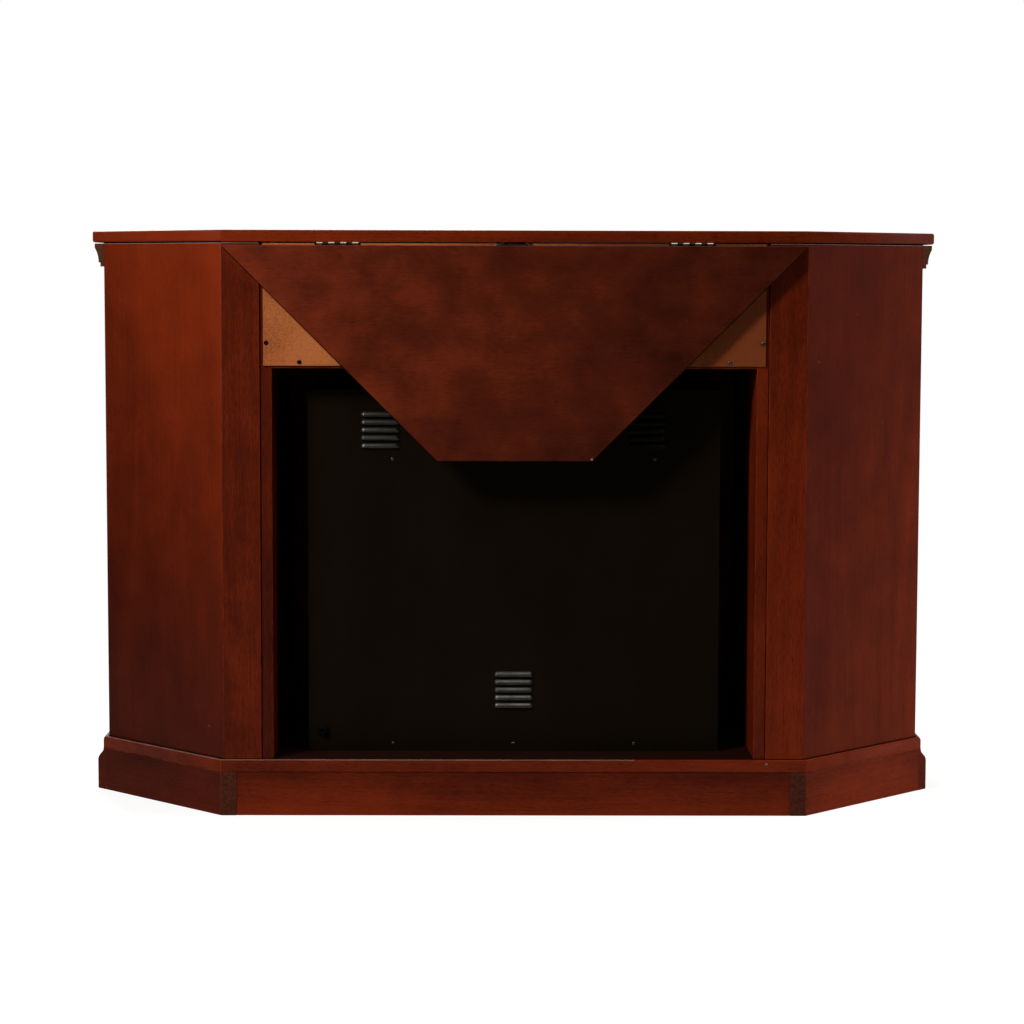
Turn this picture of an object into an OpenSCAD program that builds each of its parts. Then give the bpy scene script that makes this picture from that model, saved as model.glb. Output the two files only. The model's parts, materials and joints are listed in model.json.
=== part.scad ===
// Corner fireplace: a low wooden cabinet with an electric firebox in the middle.
// Both back corners are cut at 45 degrees, so the cabinet fits a corner of a room.
// A drop leaf hangs behind. Raised, it fills the corner or the wall behind the top.
// Millimetres, +Z up, front towards -Y, origin under the middle of the bounding box.

/* [Overall] */
// Width of the top panel
top_w = 1225.6; // [1150:0.1:1400]
// Height from the floor to the upper face of the top
total_h = 819.2; // [780:0.1:900]
// Depth of the top panel
top_depth = 400; // [385:1:460]
// Leg of the 45 degree cut at each back corner
chamfer_leg = 206; // [180:1:225]

/* [Boards] */
// Thickness of the top panel
top_t = 16; // [14:0.5:22]
// Radius of the eased edges of the top
top_ease = 3; // [1:0.5:5]
// Thickness of the side, corner and partition boards
board_t = 16; // [14:0.5:20]
// Overhang of the top past the sides of the body
side_overhang = 18.3; // [16:0.1:24]
// Seam between the top and the moulding and panels under its edge
top_seam = 1.6; // [0.3:0.1:2]
// Overhang of the top past the front of the body
front_overhang = 18.3; // [16:0.1:24]
// Inset of the body behind the back edge of the top
back_inset = 2; // [1:0.5:4]
// Inset of the corner panels behind the cut edge of the top
chamfer_inset = 1.6; // [0.5:0.1:3]
// Gap between each back stile and the partition beside it
joint_line = 0.6; // [0:0.1:1.5]

/* [Plinth] */
// Height of the plinth to the upper face of the bottom panel
base_h = 80; // [70:1:100]
// Thickness of the bottom panel
bottom_t = 17.6; // [15:0.1:20]
// Projection of the bottom panel past the sides and the front
base_lip = 8.5; // [6:0.1:12]
// Projection of the bottom panel past the corner panels
chamfer_lip = 5.2; // [3:0.1:8]
// Projection of the bottom panel past the back stiles
back_lip = 3; // [1:0.5:5]
// Radius of the moulded upper edge of the bottom panel
lip_round = 6; // [3:0.5:8]
// Radius of the eased upper edge at the back of the bottom panel
lip_ease = 2; // [1:0.5:3]
// Thickness of the plinth boards
plinth_t = 16; // [14:0.5:20]
// Recess of the back rail behind the bottom panel
rail_recess = 1.5; // [0.5:0.5:4]
// Gap between the ends of the back rail and the corner boards
rail_end_gap = 0.3; // [0.2:0.1:0.6]
// Height of the flat face of the base moulding
moulding_flat = 42; // [36:1:46]
// Thickness of the base moulding at the floor
moulding_t = 13; // [12:0.1:16]
// Thickness of the base moulding under the bottom panel
moulding_neck = 3.5; // [2.5:0.1:6]

/* [Crown moulding] */
// Height of the crown moulding
crown_h = 33.4; // [30:0.1:45]
// Projection of the crown moulding
crown_proj = 15.5; // [13:0.1:18]
// Height of the fillet at the foot of the crown moulding
crown_fillet = 6; // [4:0.5:8]
// Projection of that fillet
crown_fillet_proj = 6; // [4:0.5:8]
// Projection at the foot of the cove
cove_foot_proj = 9; // [8.5:0.5:11]
// Height of the square band above the cove
crown_band = 6; // [4:0.5:9]

/* [Middle bay] */
// Clear width between the two partitions
bay_w = 674; // [640:1:700]
// Height of the upper face of the divider shelf
divider_z = 643; // [635:0.5:660]
// Thickness of the divider shelf
divider_t = 14.5; // [12:0.5:18]
// Thickness of the hardboard back
hard_t = 3; // [2.5:0.1:5]
// Lap of the hardboard over each partition edge
hard_lap = 11.5; // [8:0.5:14]
// Lap of the hardboard over the divider edge
hard_low_lap = 11; // [8:0.5:13]
// Gap between the hardboard and the top
hard_top_gap = 2.2; // [1:0.1:4]
// Width of the notch for the support bar
bar_notch_w = 51; // [40:1:60]
// Depth of the notches in the hardboard
notch_d = 6; // [5:0.5:10]

/* [Face frame] */
// Thickness of the face frame
frame_t = 18; // [16:0.5:22]
// Width of the outer stiles
outer_stile_w = 32; // [28:1:45]
// Width of the inner stiles
inner_stile_w = 32; // [28:1:40]
// Height of the top rail
top_rail_h = 50; // [46:1:60]
// Height of the rail under the component shelf
divider_rail_h = 40; // [34:1:41]
// Width of the moulded trim round the firebox
trim_w = 44; // [42:1:52]
// Thickness of that trim
trim_t = 14; // [12:0.5:16]
// Radius of the cove along the trim
trim_cove = 9; // [6:0.5:11]

/* [Side cabinets] */
// Thickness of the cabinet shelves
shelf_t = 16; // [14:0.5:20]
// Height of the cabinet shelves
shelf_z = 416; // [320:32:480]
// Clearance round the cabinet shelves
shelf_gap = 1; // [0.5:0.1:2]
// Radius of the shelf pins
shelf_pin_r = 2.5; // [2:0.1:3.5]
// Length of the shelf pins outside their holes
shelf_pin_out = 9; // [6:0.5:12]
// Depth of the shelf pin holes
pin_hole_d = 9; // [6:0.5:11]
// Distance of the front pins from the face frame
pin_front_inset = 40; // [30:1:60]
// Distance of the rear side pins from the corner panel
pin_corner_inset = 60; // [45:1:80]
// Distance of the rear inner pins from the back stile
pin_back_inset = 13; // [10:1:40]
// Spacing of the shelf pin holes
pin_pitch = 32; // [25:1:40]
// Radial clearance of a shelf pin in its hole
pin_fit = 0.05; // [0.02:0.01:0.1]

/* [Doors] */
// Thickness of the door frames
door_t = 18; // [16:0.5:22]
// Gap at the hinge side of each door, which takes both hinge leaves
hinge_side_gap = 3; // [2.8:0.1:4]
// Gap at the free side of each door
free_side_gap = 2; // [1.5:0.1:3]
// Gap above and below each door
door_gap = 3; // [2:0.5:4]
// Width of the door stiles and rails
door_member_w = 42; // [36:1:50]
// Thickness of the tongue of the door panel
tongue_t = 6; // [5:0.5:8]
// Depth of the groove for the door panel
groove_d = 8; // [6:0.5:10]
// Thickness of the raised field of the door panel
field_t = 12; // [10:0.5:14]
// Width of the bevel round the raised field
bevel_w = 24; // [18:1:30]
// Height of the step round the raised field
field_step = 1.2; // [0.5:0.1:2]
// Clearance of the door panel in its groove
panel_fit = 0.3; // [0.1:0.1:0.8]
// Projection of the door knobs
knob_proj = 26; // [22:0.5:32]
// Radius of the door knobs
knob_r = 14; // [11:0.5:18]
// Half width of the door catches
catch_half = 14; // [11:0.5:17]
// Height of the door catches
catch_h = 35; // [30:1:45]
// Depth of the door catches
catch_d = 16; // [12:0.5:22]
// Height of the door knobs
knob_z = 470; // [400:1:520]
// Length of each door hinge
door_hinge_len = 50; // [40:1:70]
// Distance of each door hinge from the end of the door
door_hinge_inset = 70; // [50:1:120]

/* [Drop leaf] */
// Thickness of the leaf
leaf_t = 16; // [14:0.5:20]
// Gap between the raised leaf and the top
leaf_gap = 2.5; // [2.4:0.1:4]
// Half of the short edge of the leaf
leaf_short_half = 108.7; // [90:0.1:140]
// Drop of the leaf from its hinge edge to its short edge
leaf_drop = 297; // [260:0.5:320]
// Radius of the two acute corners of the leaf
leaf_tip_r = 2; // [1.5:0.5:4]
// Radius of the two lower corners of the leaf
leaf_corner_r = 5; // [3:0.5:12]
// Radius of the eased edges of the leaf
leaf_ease = 1.6; // [1:0.1:3]
// Distance of each leaf hinge from the middle
leaf_hinge_x = 245; // [200:1:300]
// Length of each leaf hinge
leaf_hinge_len = 58; // [45:1:70]
// Width of each hinge plate
leaf_plate_w = 32; // [24:1:40]

/* [Hinges] */
// Number of knuckles in each leaf hinge
leaf_knuckles = 7; // [5:2:9]
// Number of knuckles in each door hinge
door_knuckles = 5; // [3:2:7]
// Gap between the leaf's knuckles and the boards
knuckle_clear = 0.3; // [0.2:0.05:0.4]
// Radius of the hinge pin
pin_r = 1.2; // [0.9:0.1:1.4]
// Radial clearance between a pin and its knuckles
pin_clear = 0.06; // [0.03:0.01:0.1]
// Gap between neighbouring knuckles
knuckle_gap = 0.4; // [0.2:0.1:0.8]
// Thickness of the hinge plates
plate_t = 1.2; // [1:0.1:1.2]
// Radius of the screw holes in the hinge plates
plate_hole_r = 2; // [1.5:0.1:2.5]

/* [Leaf support] */
// Width of the sliding support bar
bar_w = 26.8; // [22:0.1:32]
// Thickness of the support bar
bar_t = 2.8; // [2:0.1:2.8]
// Gap between the front end of the support bar and the face frame
bar_front_gap = 32.7; // [10:0.1:40]
// Distance of the support bar's rear end from the back edge of the top
bar_rear_inset = 1; // [0.5:0.5:5]
// Distance of the bar's slot from its rear end
bar_slot_end = 59; // [50:1:70]
// Radius of the finger hole in the bar
bar_hole_r = 5; // [3:0.5:7]
// Distance of the finger hole from the bar's rear end
bar_hole_end = 16; // [12:1:24]
// Travel of the support bar
bar_travel = 200; // [160:1:220]
// Running clearance round the support bar
bar_clear = 0.3; // [0.2:0.05:0.5]
// Thickness of the guide straps
strap_t = 1.5; // [1.2:0.1:2]
// Length of the guide straps along the bar
strap_len = 20; // [14:1:30]
// Distance of the rear guide strap from the back edge of the top
strap_inset = 30; // [20:1:40]
// Distance of the front guide strap from the drawn-out bar's end
strap_hold = 14; // [11:1:20]
// Width of the screw ears of the guide straps
strap_ear = 14; // [10:1:20]
// Radius of the stop screw
stop_r = 3; // [2.5:0.1:4]

/* [Firebox] */
// Width of the firebox
box_w = 584; // [560:1:600]
// Height of the firebox
box_h = 516.6; // [510:0.1:520]
// Distance from the back edge of the top to the back of the firebox
box_back = 67; // [50:1:90]
// Thickness of the sheet steel
sheet_t = 1.2; // [1:0.1:1.5]
// Width of the return flange round the back of the firebox
flange_w = 6; // [5:0.5:12]
// Thickness of the front bezel
bezel_t = 2; // [1.5:0.1:3]
// Width of the window in the bezel
window_w = 500; // [460:1:520]
// Height of the lower edge of the window above the firebox bottom
window_low = 72; // [68:1:90]
// Height of the upper edge of the window above the firebox bottom
window_high = 420; // [400:1:422]
// Thickness of the glass
glass_t = 4; // [3:0.5:5]
// Lap of the glass behind the bezel
glass_lap = 10; // [6:1:14]

/* [Cord gland] */
// Distance of the gland from the side of the firebox
gland_side = 20; // [17:1:60]
// Height of the gland above the firebox bottom
gland_rise = 31; // [18:1:80]
// Radius of the gland's flange
gland_flange_r = 9; // [7:0.5:10]
// Radius of the gland's neck
gland_neck_r = 6; // [5:0.5:6.5]
// Radius of the gland's bore
gland_bore_r = 3.2; // [2.5:0.1:4.5]
// Length of the gland behind the firebox
gland_len = 10; // [6:1:16]

/* [Screws] */
// Radius of the screw heads in the hardboard
hard_screw_r = 3.2; // [2.5:0.1:4]
// Distance of the side screws from the hardboard's edge
hard_screw_side = 4.1; // [4:0.1:6]
// Height of the lower side screws above the hardboard's lower edge
hard_screw_low = 31.5; // [20:0.5:50]
// Distance of the upper side screws below the hardboard's upper edge
hard_screw_high = 40; // [30:1:60]
// Height of the bottom screws above the hardboard's lower edge
hard_screw_rise = 5; // [4:0.5:7]
// Distance of the outer bottom screws from the hardboard's edge
hard_screw_end = 50; // [30:1:80]
// Distance of the inner bottom screws from the middle
hard_screw_mid = 100; // [60:1:150]
// Radius of the screw heads in the firebox back
box_screw_r = 2.6; // [2:0.1:3.5]
// Distance of the outer firebox screws from the middle
box_screw_x = 172; // [150:1:240]
// Height of the lower firebox screws above the firebox bottom
box_screw_low = 11; // [10:0.5:20]
// Height of the upper firebox screws above the firebox bottom
box_screw_high = 418; // [390:1:425]
// Distance of the upper left firebox screw from the middle
box_screw_left = 199.5; // [150:0.5:240]

/* [Louvres] */
// Length of one louvre
louvre_len = 56; // [40:1:70]
// Outer radius of a louvre hood
louvre_r = 6; // [5:0.1:7]
// Depth of the hood's centre behind the sheet's face
louvre_sink = 1.5; // [0.5:0.1:2.5]
// Drop of the hood's lip below its centre
louvre_lip = 1.5; // [0.5:0.1:2.5]
// Spacing of the louvres
louvre_pitch = 11.15; // [10.5:0.05:14]
// Number of louvres in each group
louvre_n = 5; // [3:1:6]
// Height of the lowest louvre in the middle group
louvre_low_z = 144.7; // [130:0.1:180]
// Height of the lowest louvre in the upper groups
louvre_high_z = 515.5; // [480:0.1:520]
// Distance of the upper groups from the middle
louvre_side_x = 189; // [160:1:210]

/* [Flame and heater] */
// Distance of the flame screen behind the glass
screen_depth = 150; // [140:1:165]
// Length of the longest log
log_len = 370; // [300:5:400]
// Height of the ember bed's tray above the firebox bottom
bed_rise = 62; // [50:1:70]
// Thickness of the ember bed's tray
bed_t = 24; // [16:1:30]
// Radius of the coals
lump_r = 11; // [8:0.5:13]
// Number of coals
lump_n = 18; // [12:1:22]
// Half width of the lamp strip
lamp_strip_half = 14; // [10:0.5:18]
// Height of the lamp strip's folded edge
lamp_fold_h = 14; // [8:0.5:20]
// Radius of the lamps
lamp_r = 4; // [3:0.25:5]
// Distance of the outer lamps from the end of the strip
lamp_end = 20; // [10:1:40]
// Number of lamps
lamp_n = 12; // [8:1:16]
// Radius of the flame rotor's flags
rotor_r = 22; // [16:1:24]
// Height of the rotor's flags above the firebox bottom
rotor_rise = 50; // [46:1:60]
// Thickness of the rotor's bearing blocks
bearing_t = 10; // [6:0.5:12]
// Radius of the rotor's bearing blocks
bearing_r = 15; // [12:0.5:18]
// Radius of the rotor's motor
motor_r = 20; // [16:0.5:24]
// Length of the rotor's motor
motor_len = 24; // [16:1:26]
// Radius of the rotor shaft
rotor_shaft_r = 3; // [2:0.1:4]
// Length of the rotor between its bearings
rotor_len = 440; // [400:1:460]
// Number of flags along the rotor
flag_n = 12; // [8:1:16]
// Radius of the blower wheel
wheel_r = 27; // [20:0.5:29]
// Length of the blower wheel
wheel_len = 300; // [240:1:320]
// Number of blades on the blower wheel
blade_n = 20; // [12:1:28]
// Width of the heater case
heater_w = 380; // [360:1:420]
// Depth of the heater case
heater_depth = 95; // [85:1:110]
// Height of the outlet opening
outlet_h = 34; // [28:1:36]
// Number of blades in the outlet grille
grille_n = 4; // [3:1:5]

/* [Controls] */
// Width of the control panel
control_w = 220; // [180:1:260]
// Height of the control panel
control_h = 40; // [36:1:44]
// Thickness of the control panel
control_t = 2; // [1.5:0.1:3]
// Distance of the two knobs from the middle of the panel
dial_x = 55; // [48:1:70]
// Radius of the two knobs
dial_r = 11; // [9:0.5:14]
// Length of the two knobs
dial_len = 13; // [10:0.5:14]
// Radius of the knob shafts
dial_shaft_r = 3; // [2.5:0.1:3.5]
// Radial clearance of a shaft in the panel
shaft_clear = 0.08; // [0.04:0.01:0.1]
// Width of the power rocker
rocker_w = 13; // [11:0.5:16]
// Height of the power rocker
rocker_h = 20; // [17:0.5:24]
// Tilt of the rocker to each side
rocker_tilt = 7; // [4:1:9]

/* [Hidden] */
$fn = 48;
root2 = sqrt(2);
eps = 0.01;
reach = 20;

// Plan of the top
top_half = top_w / 2;
back_half = top_half - chamfer_leg;
top_under = total_h - top_t;

// Radius of every hinge knuckle
knuckle_r = leaf_gap - knuckle_clear;

// Plan of the body, where a 45 degree face lies on |x| + y = a constant
cham_face = back_half - chamfer_inset * root2;
cham_in = cham_face - board_t * root2;
cham_base = cham_face + chamfer_lip * root2;
body_half = top_half - side_overhang;
body_front = -(top_depth - front_overhang);
body_back = -back_inset;
side_in = body_half - board_t;
stile_front = body_back - board_t;
frame_back = body_front + frame_t;
base_back = body_back + back_lip;
base_half = body_half + base_lip;
base_front = body_front - base_lip;
plinth_h = base_h - bottom_t;
plinth_back = base_back - rail_recess / 3;
moulding_in = side_overhang - moulding_t;
moulding_half = body_half + moulding_in;

// Heights and widths of the bay
part_in = bay_w / 2;
part_out = part_in + board_t;
part_back = body_back - hard_t;
divider_low = divider_z - divider_t;
hard_half = part_in + hard_lap;
hard_low = divider_z - hard_low_lap;
hard_high = top_under - hard_top_gap;
seam_z = top_under - top_seam;
crown_z = seam_z - crown_h;

// Openings of the face frame
outer_edge = body_half - outer_stile_w;
inner_mid = part_in + board_t / 2;
inner_edge = inner_mid + inner_stile_w / 2;
bay_edge = inner_mid - inner_stile_w / 2;
rail_low = top_under - top_rail_h;

// Doors
door_out = outer_edge - hinge_side_gap;
door_in = inner_edge + free_side_gap;
door_w = door_out - door_in;
door_low = base_h + door_gap;
door_high = rail_low - door_gap;
door_h = door_high - door_low;
door_axis_x = outer_edge - hinge_side_gap / 2;
barrel_stand = knuckle_r + 0.2;
door_axis_y = body_front - barrel_stand;
door_plate_off = hinge_side_gap / 2 - plate_t;
door_plate_w = door_t - 2 + barrel_stand;
knob_x = door_in + door_member_w / 2;

// Drop leaf, hanging from a pin just under the back edge of the top
leaf_axis_z = top_under - leaf_gap;
leaf_long_half = leaf_short_half + leaf_drop;
leaf_high = leaf_axis_z - leaf_gap;
leaf_low = leaf_high - leaf_drop;
leaf_plate_off = leaf_gap - plate_t;
plate_start = 0.6;

// Support bar
bar_high = top_under - bar_clear;
bar_low = bar_high - bar_t;
bar_rear = -bar_rear_inset;
bar_front = frame_back + bar_front_gap;
slot_rear = bar_rear - bar_slot_end;
stop_y = slot_rear - stop_r;
slot_front = stop_y - bar_travel - stop_r;
strap_half = bar_w / 2 + bar_clear + strap_t;
strap_low = bar_low - bar_clear - strap_t;
strap_rear_y = -strap_inset;
strap_front_y = bar_front + bar_travel + strap_hold;

// Firebox
box_half = box_w / 2;
box_low = base_h;
box_high = box_low + box_h;
box_rear = -box_back;
bezel_front = frame_back;
shell_front = bezel_front + bezel_t;
glass_back = shell_front + glass_t;
window_half = window_w / 2;
screen_y = glass_back + screen_depth;
inner_half = box_half - sheet_t;
inner_low = box_low + sheet_t;
inner_high = box_high - sheet_t;
trim_in = bay_edge - trim_w;

// Flame rotor, blower and heater
rotor_y = screen_y + rotor_r + 8;
rotor_z = inner_low + rotor_r + rotor_rise;
heater_high = inner_high;
heater_low = box_low + window_high + glass_lap + 4;
heater_front = glass_back + 2;
heater_rear = heater_front + heater_depth;
outlet_low = heater_low + 4;
outlet_half = heater_w / 2 - 10;
wheel_y = heater_rear - wheel_r - 4;
wheel_z = (heater_low + heater_high) / 2;

// Controls
control_z = box_low + window_low / 2;
dial_y = bezel_front - control_t;
rocker_pivot_y = dial_y + 3;

// Middle of the bounding box, which becomes the origin
front_most = min(-top_depth, body_front - knob_proj);
back_most = leaf_gap + leaf_t;
origin_y = (front_most + back_most) / 2;

// ---------------------------------------------------------------- helpers

// Places a shape drawn from the back edge of the top into the part's frame
module place() {
  translate([0, -origin_y, 0]) children();
}

// Mirrors a right-hand shape to side s, where s is 1 or -1
module side(s) {
  if (s > 0) children();
  else mirror([1, 0, 0]) children();
}

// Box between two corners
module box(a, b) {
  translate(a) cube(b - a);
}

function unit(v) = v / norm(v);

// Plan polygon of the top
function top_plan() = [
  [-top_half, -top_depth], [top_half, -top_depth],
  [top_half, -chamfer_leg], [back_half, 0],
  [-back_half, 0], [-top_half, -chamfer_leg]
];

// Plan polygon of the bottom panel
function base_plan() = [
  [-base_half, base_front], [base_half, base_front],
  [base_half, cham_base - base_half], [cham_base - base_back, base_back],
  [base_back - cham_base, base_back], [-base_half, cham_base - base_half]
];

// Rounds the upper edge of a prism along the plan edge from a to b
module ease_top(a, b, z, r) {
  d = b - a;
  translate([a[0], a[1], z])
    rotate([0, 0, atan2(d[1], d[0])])
      rotate([90, 0, 90])
        translate([0, 0, -reach])
          linear_extrude(norm(d) + 2 * reach)
            difference() {
              translate([-1, -r]) square([r + 1, r + 1]);
              translate([r, -r]) circle(r);
            }
}

// Rounds both edges of a plate along one plan edge, with its faces at low and high
module ease_both(a, b, low, high, r) {
  ease_top(a, b, high, r);
  translate([0, 0, low]) mirror([0, 0, 1]) ease_top(a, b, 0, r);
}

// Point a fifth of the way past b, seen from a
function past(a, b) = b + (b - a) * 0.2;

// Polygon with rounded corners, where r holds one radius per corner
function corner_angle(p, i) = let (
    n = len(p), u = unit(p[(i + n - 1) % n] - p[i]), v = unit(p[(i + 1) % n] - p[i])
  ) acos(u * v);
function corner_ends(p, i, r) = let (
    n = len(p), u = unit(p[(i + n - 1) % n] - p[i]), v = unit(p[(i + 1) % n] - p[i]),
    d = r / tan(corner_angle(p, i) / 2)
  ) [p[i] + u * d, p[i] + v * d];
function corner_centre(p, i, r) = let (
    n = len(p), u = unit(p[(i + n - 1) % n] - p[i]), v = unit(p[(i + 1) % n] - p[i])
  ) p[i] + unit(u + v) * r / sin(corner_angle(p, i) / 2);
module corner_waste(p, i, r) {
  c = corner_centre(p, i, r);
  e = corner_ends(p, i, r);
  difference() {
    polygon([c, e[0], past(c, e[0]), past(c, p[i]), past(c, e[1]), e[1]]);
    translate(c) circle(r);
  }
}
module round_poly(p, r) {
  difference() {
    polygon(p);
    for (i = [0:len(p) - 1]) corner_waste(p, i, r[i]);
  }
}

// Vertical board with the given plan polygon
module board(plan, low, high) {
  translate([0, 0, low]) linear_extrude(high - low) polygon(plan);
}

// Cylinder along Y from y0 to y1
module rod_y(x, z, y0, y1, r) {
  translate([x, y0, z]) rotate([-90, 0, 0]) cylinder(r = r, h = y1 - y0);
}

// Cylinder along X from x0 to x1
module rod_x(x0, x1, y, z, r) {
  translate([x0, y, z]) rotate([0, 90, 0]) cylinder(r = r, h = x1 - x0);
}

// ---------------------------------------------------------------- hinge halves

// Knuckles k, k + 2 and so on of a barrel along Z, with a bore if bore is over 0
module knuckles(length, n, k, bore) {
  for (i = [k:2:n - 1])
    translate([0, 0, i * length / n + knuckle_gap / 2])
      difference() {
        cylinder(r = knuckle_r, h = length / n - knuckle_gap);
        if (bore > 0)
          translate([0, 0, -1]) cylinder(r = bore, h = length / n + 2);
      }
}

// Plate along +Y at x from off, open where the other half's knuckles turn
module hinge_plate(length, n, k, off, width) {
  difference() {
    translate([off, plate_start, 0]) cube([plate_t, width - plate_start, length]);
    for (i = [1 - k:2:n - 1])
      translate([off - 1, -1, i * length / n - knuckle_gap / 2])
        cube([plate_t + 2, knuckle_r + 1.3, length / n + knuckle_gap]);
    for (z = [length / n * 1.2, length - length / n * 1.2])
      translate([off - 1, width - 3 - 2 * plate_hole_r, z])
        rotate([0, 90, 0]) cylinder(r = plate_hole_r, h = plate_t + 2);
    translate([off - 1, knuckle_r + 3 + plate_hole_r, length / 2])
      rotate([0, 90, 0]) cylinder(r = plate_hole_r, h = plate_t + 2);
  }
}

// Half with the pin, which owns the outer knuckles
module pinned_half(length, n, off, width) {
  union() {
    knuckles(length, n, 0, 0);
    cylinder(r = pin_r, h = length);
    hinge_plate(length, n, 0, off, width);
  }
}

// Half that turns on the pin
module turning_half(length, n, off, width) {
  difference() {
    union() {
      knuckles(length, n, 1, pin_r + pin_clear);
      hinge_plate(length, n, 1, off, width);
    }
    translate([0, 0, -1]) cylinder(r = pin_r + pin_clear, h = length + 2);
  }
}

// ---------------------------------------------------------------- carcass

module top_panel() {
  color("#6b2414") place() translate([0, 0, top_under])
    difference() {
      board(top_plan(), 0, top_t);
      for (i = [0:5])
        if (i != 3)
          ease_both(top_plan()[i], top_plan()[(i + 1) % 6], 0, top_t, top_ease);
      ease_top(top_plan()[3], top_plan()[4], top_t, top_ease / 3);
    }
}

module bottom_panel() {
  color("#6b2414") place()
    difference() {
      board(base_plan(), plinth_h, base_h);
      for (i = [5, 0, 1])
        ease_top(base_plan()[i], base_plan()[(i + 1) % 6], base_h, lip_round);
      for (i = [2, 3, 4])
        ease_top(base_plan()[i], base_plan()[i + 1], base_h, lip_ease);
    }
}

// Column of shelf pin holes on the face x, drilled towards d
module pin_holes(x, d, y) {
  for (i = [-2:2])
    translate([x - d * eps, y, shelf_z - shelf_pin_r + i * pin_pitch])
      rotate([0, d * 90, 0]) cylinder(r = shelf_pin_r + pin_fit, h = pin_hole_d + eps);
}

shelf_pin_front = frame_back + pin_front_inset;
shelf_pin_rear = cham_in - side_in - pin_corner_inset;
shelf_pin_back = stile_front - pin_back_inset;

module side_panel(s) {
  color("#6b2414") place() side(s)
    difference() {
      board([
        [body_half, frame_back], [body_half, cham_face - body_half],
        [side_in, cham_in - side_in], [side_in, frame_back]
      ], base_h, top_under);
      for (y = [shelf_pin_front, shelf_pin_rear]) pin_holes(side_in, 1, y);
    }
}

module corner_panel(s) {
  color("#6b2414") place() side(s)
    board([
      [body_half, cham_face - body_half], [cham_face - body_back, body_back],
      [cham_in - stile_front, stile_front], [side_in, cham_in - side_in]
    ], base_h, seam_z);
}

module back_stile(s) {
  color("#6b2414") place() side(s)
    board([
      [part_out + joint_line, body_back], [part_out + joint_line, stile_front],
      [cham_in - stile_front, stile_front], [cham_face - body_back, body_back]
    ], base_h, seam_z);
}

module partition(s) {
  color("#6b2414") place() side(s)
    difference() {
      box([part_in, frame_back, base_h], [part_out, part_back, top_under]);
      for (y = [shelf_pin_front, shelf_pin_back]) pin_holes(part_out, -1, y);
    }
}

module divider_shelf() {
  color("#6b2414") place()
    box([-part_in, frame_back, divider_low], [part_in, part_back, divider_z]);
}

module hardboard_back() {
  color("#b0683c") place()
    difference() {
      box([-hard_half, part_back, hard_low], [hard_half, body_back, hard_high]);
      box([-bar_notch_w / 2, part_back - 1, top_under - hard_top_gap - notch_d],
          [bar_notch_w / 2, body_back + 1, top_under]);
      for (s = [-1, 1])
        translate([s * leaf_hinge_x, 0, 0])
          box([-leaf_hinge_len / 2 - 3, part_back - 1, top_under - hard_top_gap - notch_d],
              [leaf_hinge_len / 2 + 3, body_back + 1, top_under]);
    }
}

// ---------------------------------------------------------------- plinth

// Rail with both ends cut along the inner faces of the corner boards
module plinth_back_rail() {
  rail_back = base_back - rail_recess;
  rail_front = rail_back - plinth_t;
  reach = cham_base - plinth_t * root2 - rail_end_gap * root2;
  color("#6b2414") place()
    board([
      [-reach + rail_back, rail_back], [-reach + rail_front, rail_front],
      [reach - rail_front, rail_front], [reach - rail_back, rail_back]
    ], 0, plinth_h);
}

module plinth_cross_rails() {
  color("#6b2414") place()
    for (s = [-1, 1])
      box([s * inner_mid - plinth_t / 2, body_front - moulding_in, 0],
          [s * inner_mid + plinth_t / 2, base_back - rail_recess - plinth_t, plinth_h]);
}

module corner_boards() {
  color("#6b2414") place()
    for (s = [-1, 1]) side(s)
      board([
        [cham_base - plinth_back, plinth_back],
        [cham_base - plinth_t * root2 - plinth_back, plinth_back],
        [moulding_half, cham_base - plinth_t * root2 - moulding_half],
        [moulding_half, cham_base - moulding_half]
      ], 0, plinth_h);
}

// Profile of the base moulding: flat face, then an ogee of two equal arcs.
// x is the projection from the body, y is the height.
module base_profile() {
  out = side_overhang;
  neck = moulding_in + moulding_neck;
  rise = (plinth_h - moulding_flat) / 2;
  run = (out - neck) / 2;
  arc_r = (rise * rise + run * run) / (2 * run);
  union() {
    translate([moulding_in, 0]) square([out - moulding_in, moulding_flat]);
    intersection() {
      translate([moulding_in, moulding_flat - eps]) square([out - moulding_in, rise + eps]);
      translate([out - arc_r, moulding_flat]) circle(arc_r, $fn = 96);
    }
    difference() {
      translate([moulding_in, moulding_flat + rise - eps])
        square([neck + run - moulding_in, rise + eps]);
      translate([neck + arc_r, plinth_h]) circle(arc_r, $fn = 96);
    }
  }
}

// Profile of the crown moulding: fillet, cove and square band
module crown_profile() {
  cove_rise = crown_h - crown_fillet - crown_band;
  cove_run = crown_proj - cove_foot_proj;
  cove_r = (cove_rise * cove_rise + cove_run * cove_run) / (2 * cove_run);
  union() {
    square([crown_fillet_proj, crown_fillet + eps]);
    difference() {
      translate([0, crown_fillet]) square([crown_proj, cove_rise + eps]);
      translate([cove_foot_proj + cove_r, crown_fillet]) circle(cove_r, $fn = 128);
    }
    translate([0, crown_h - crown_band]) square([crown_proj, crown_band]);
  }
}

// Runs a profile along the front of the body, mitred at both ends
module front_run(inner, outer, low, high) {
  intersection() {
    translate([-body_half - outer - 1, body_front, low])
      rotate([90, 0, 90])
        linear_extrude(2 * (body_half + outer + 1))
          mirror([1, 0]) children();
    board([
      [-body_half - outer, body_front - outer], [body_half + outer, body_front - outer],
      [body_half + inner, body_front - inner], [-body_half - inner, body_front - inner]
    ], low - 1, high + 1);
  }
}

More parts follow.
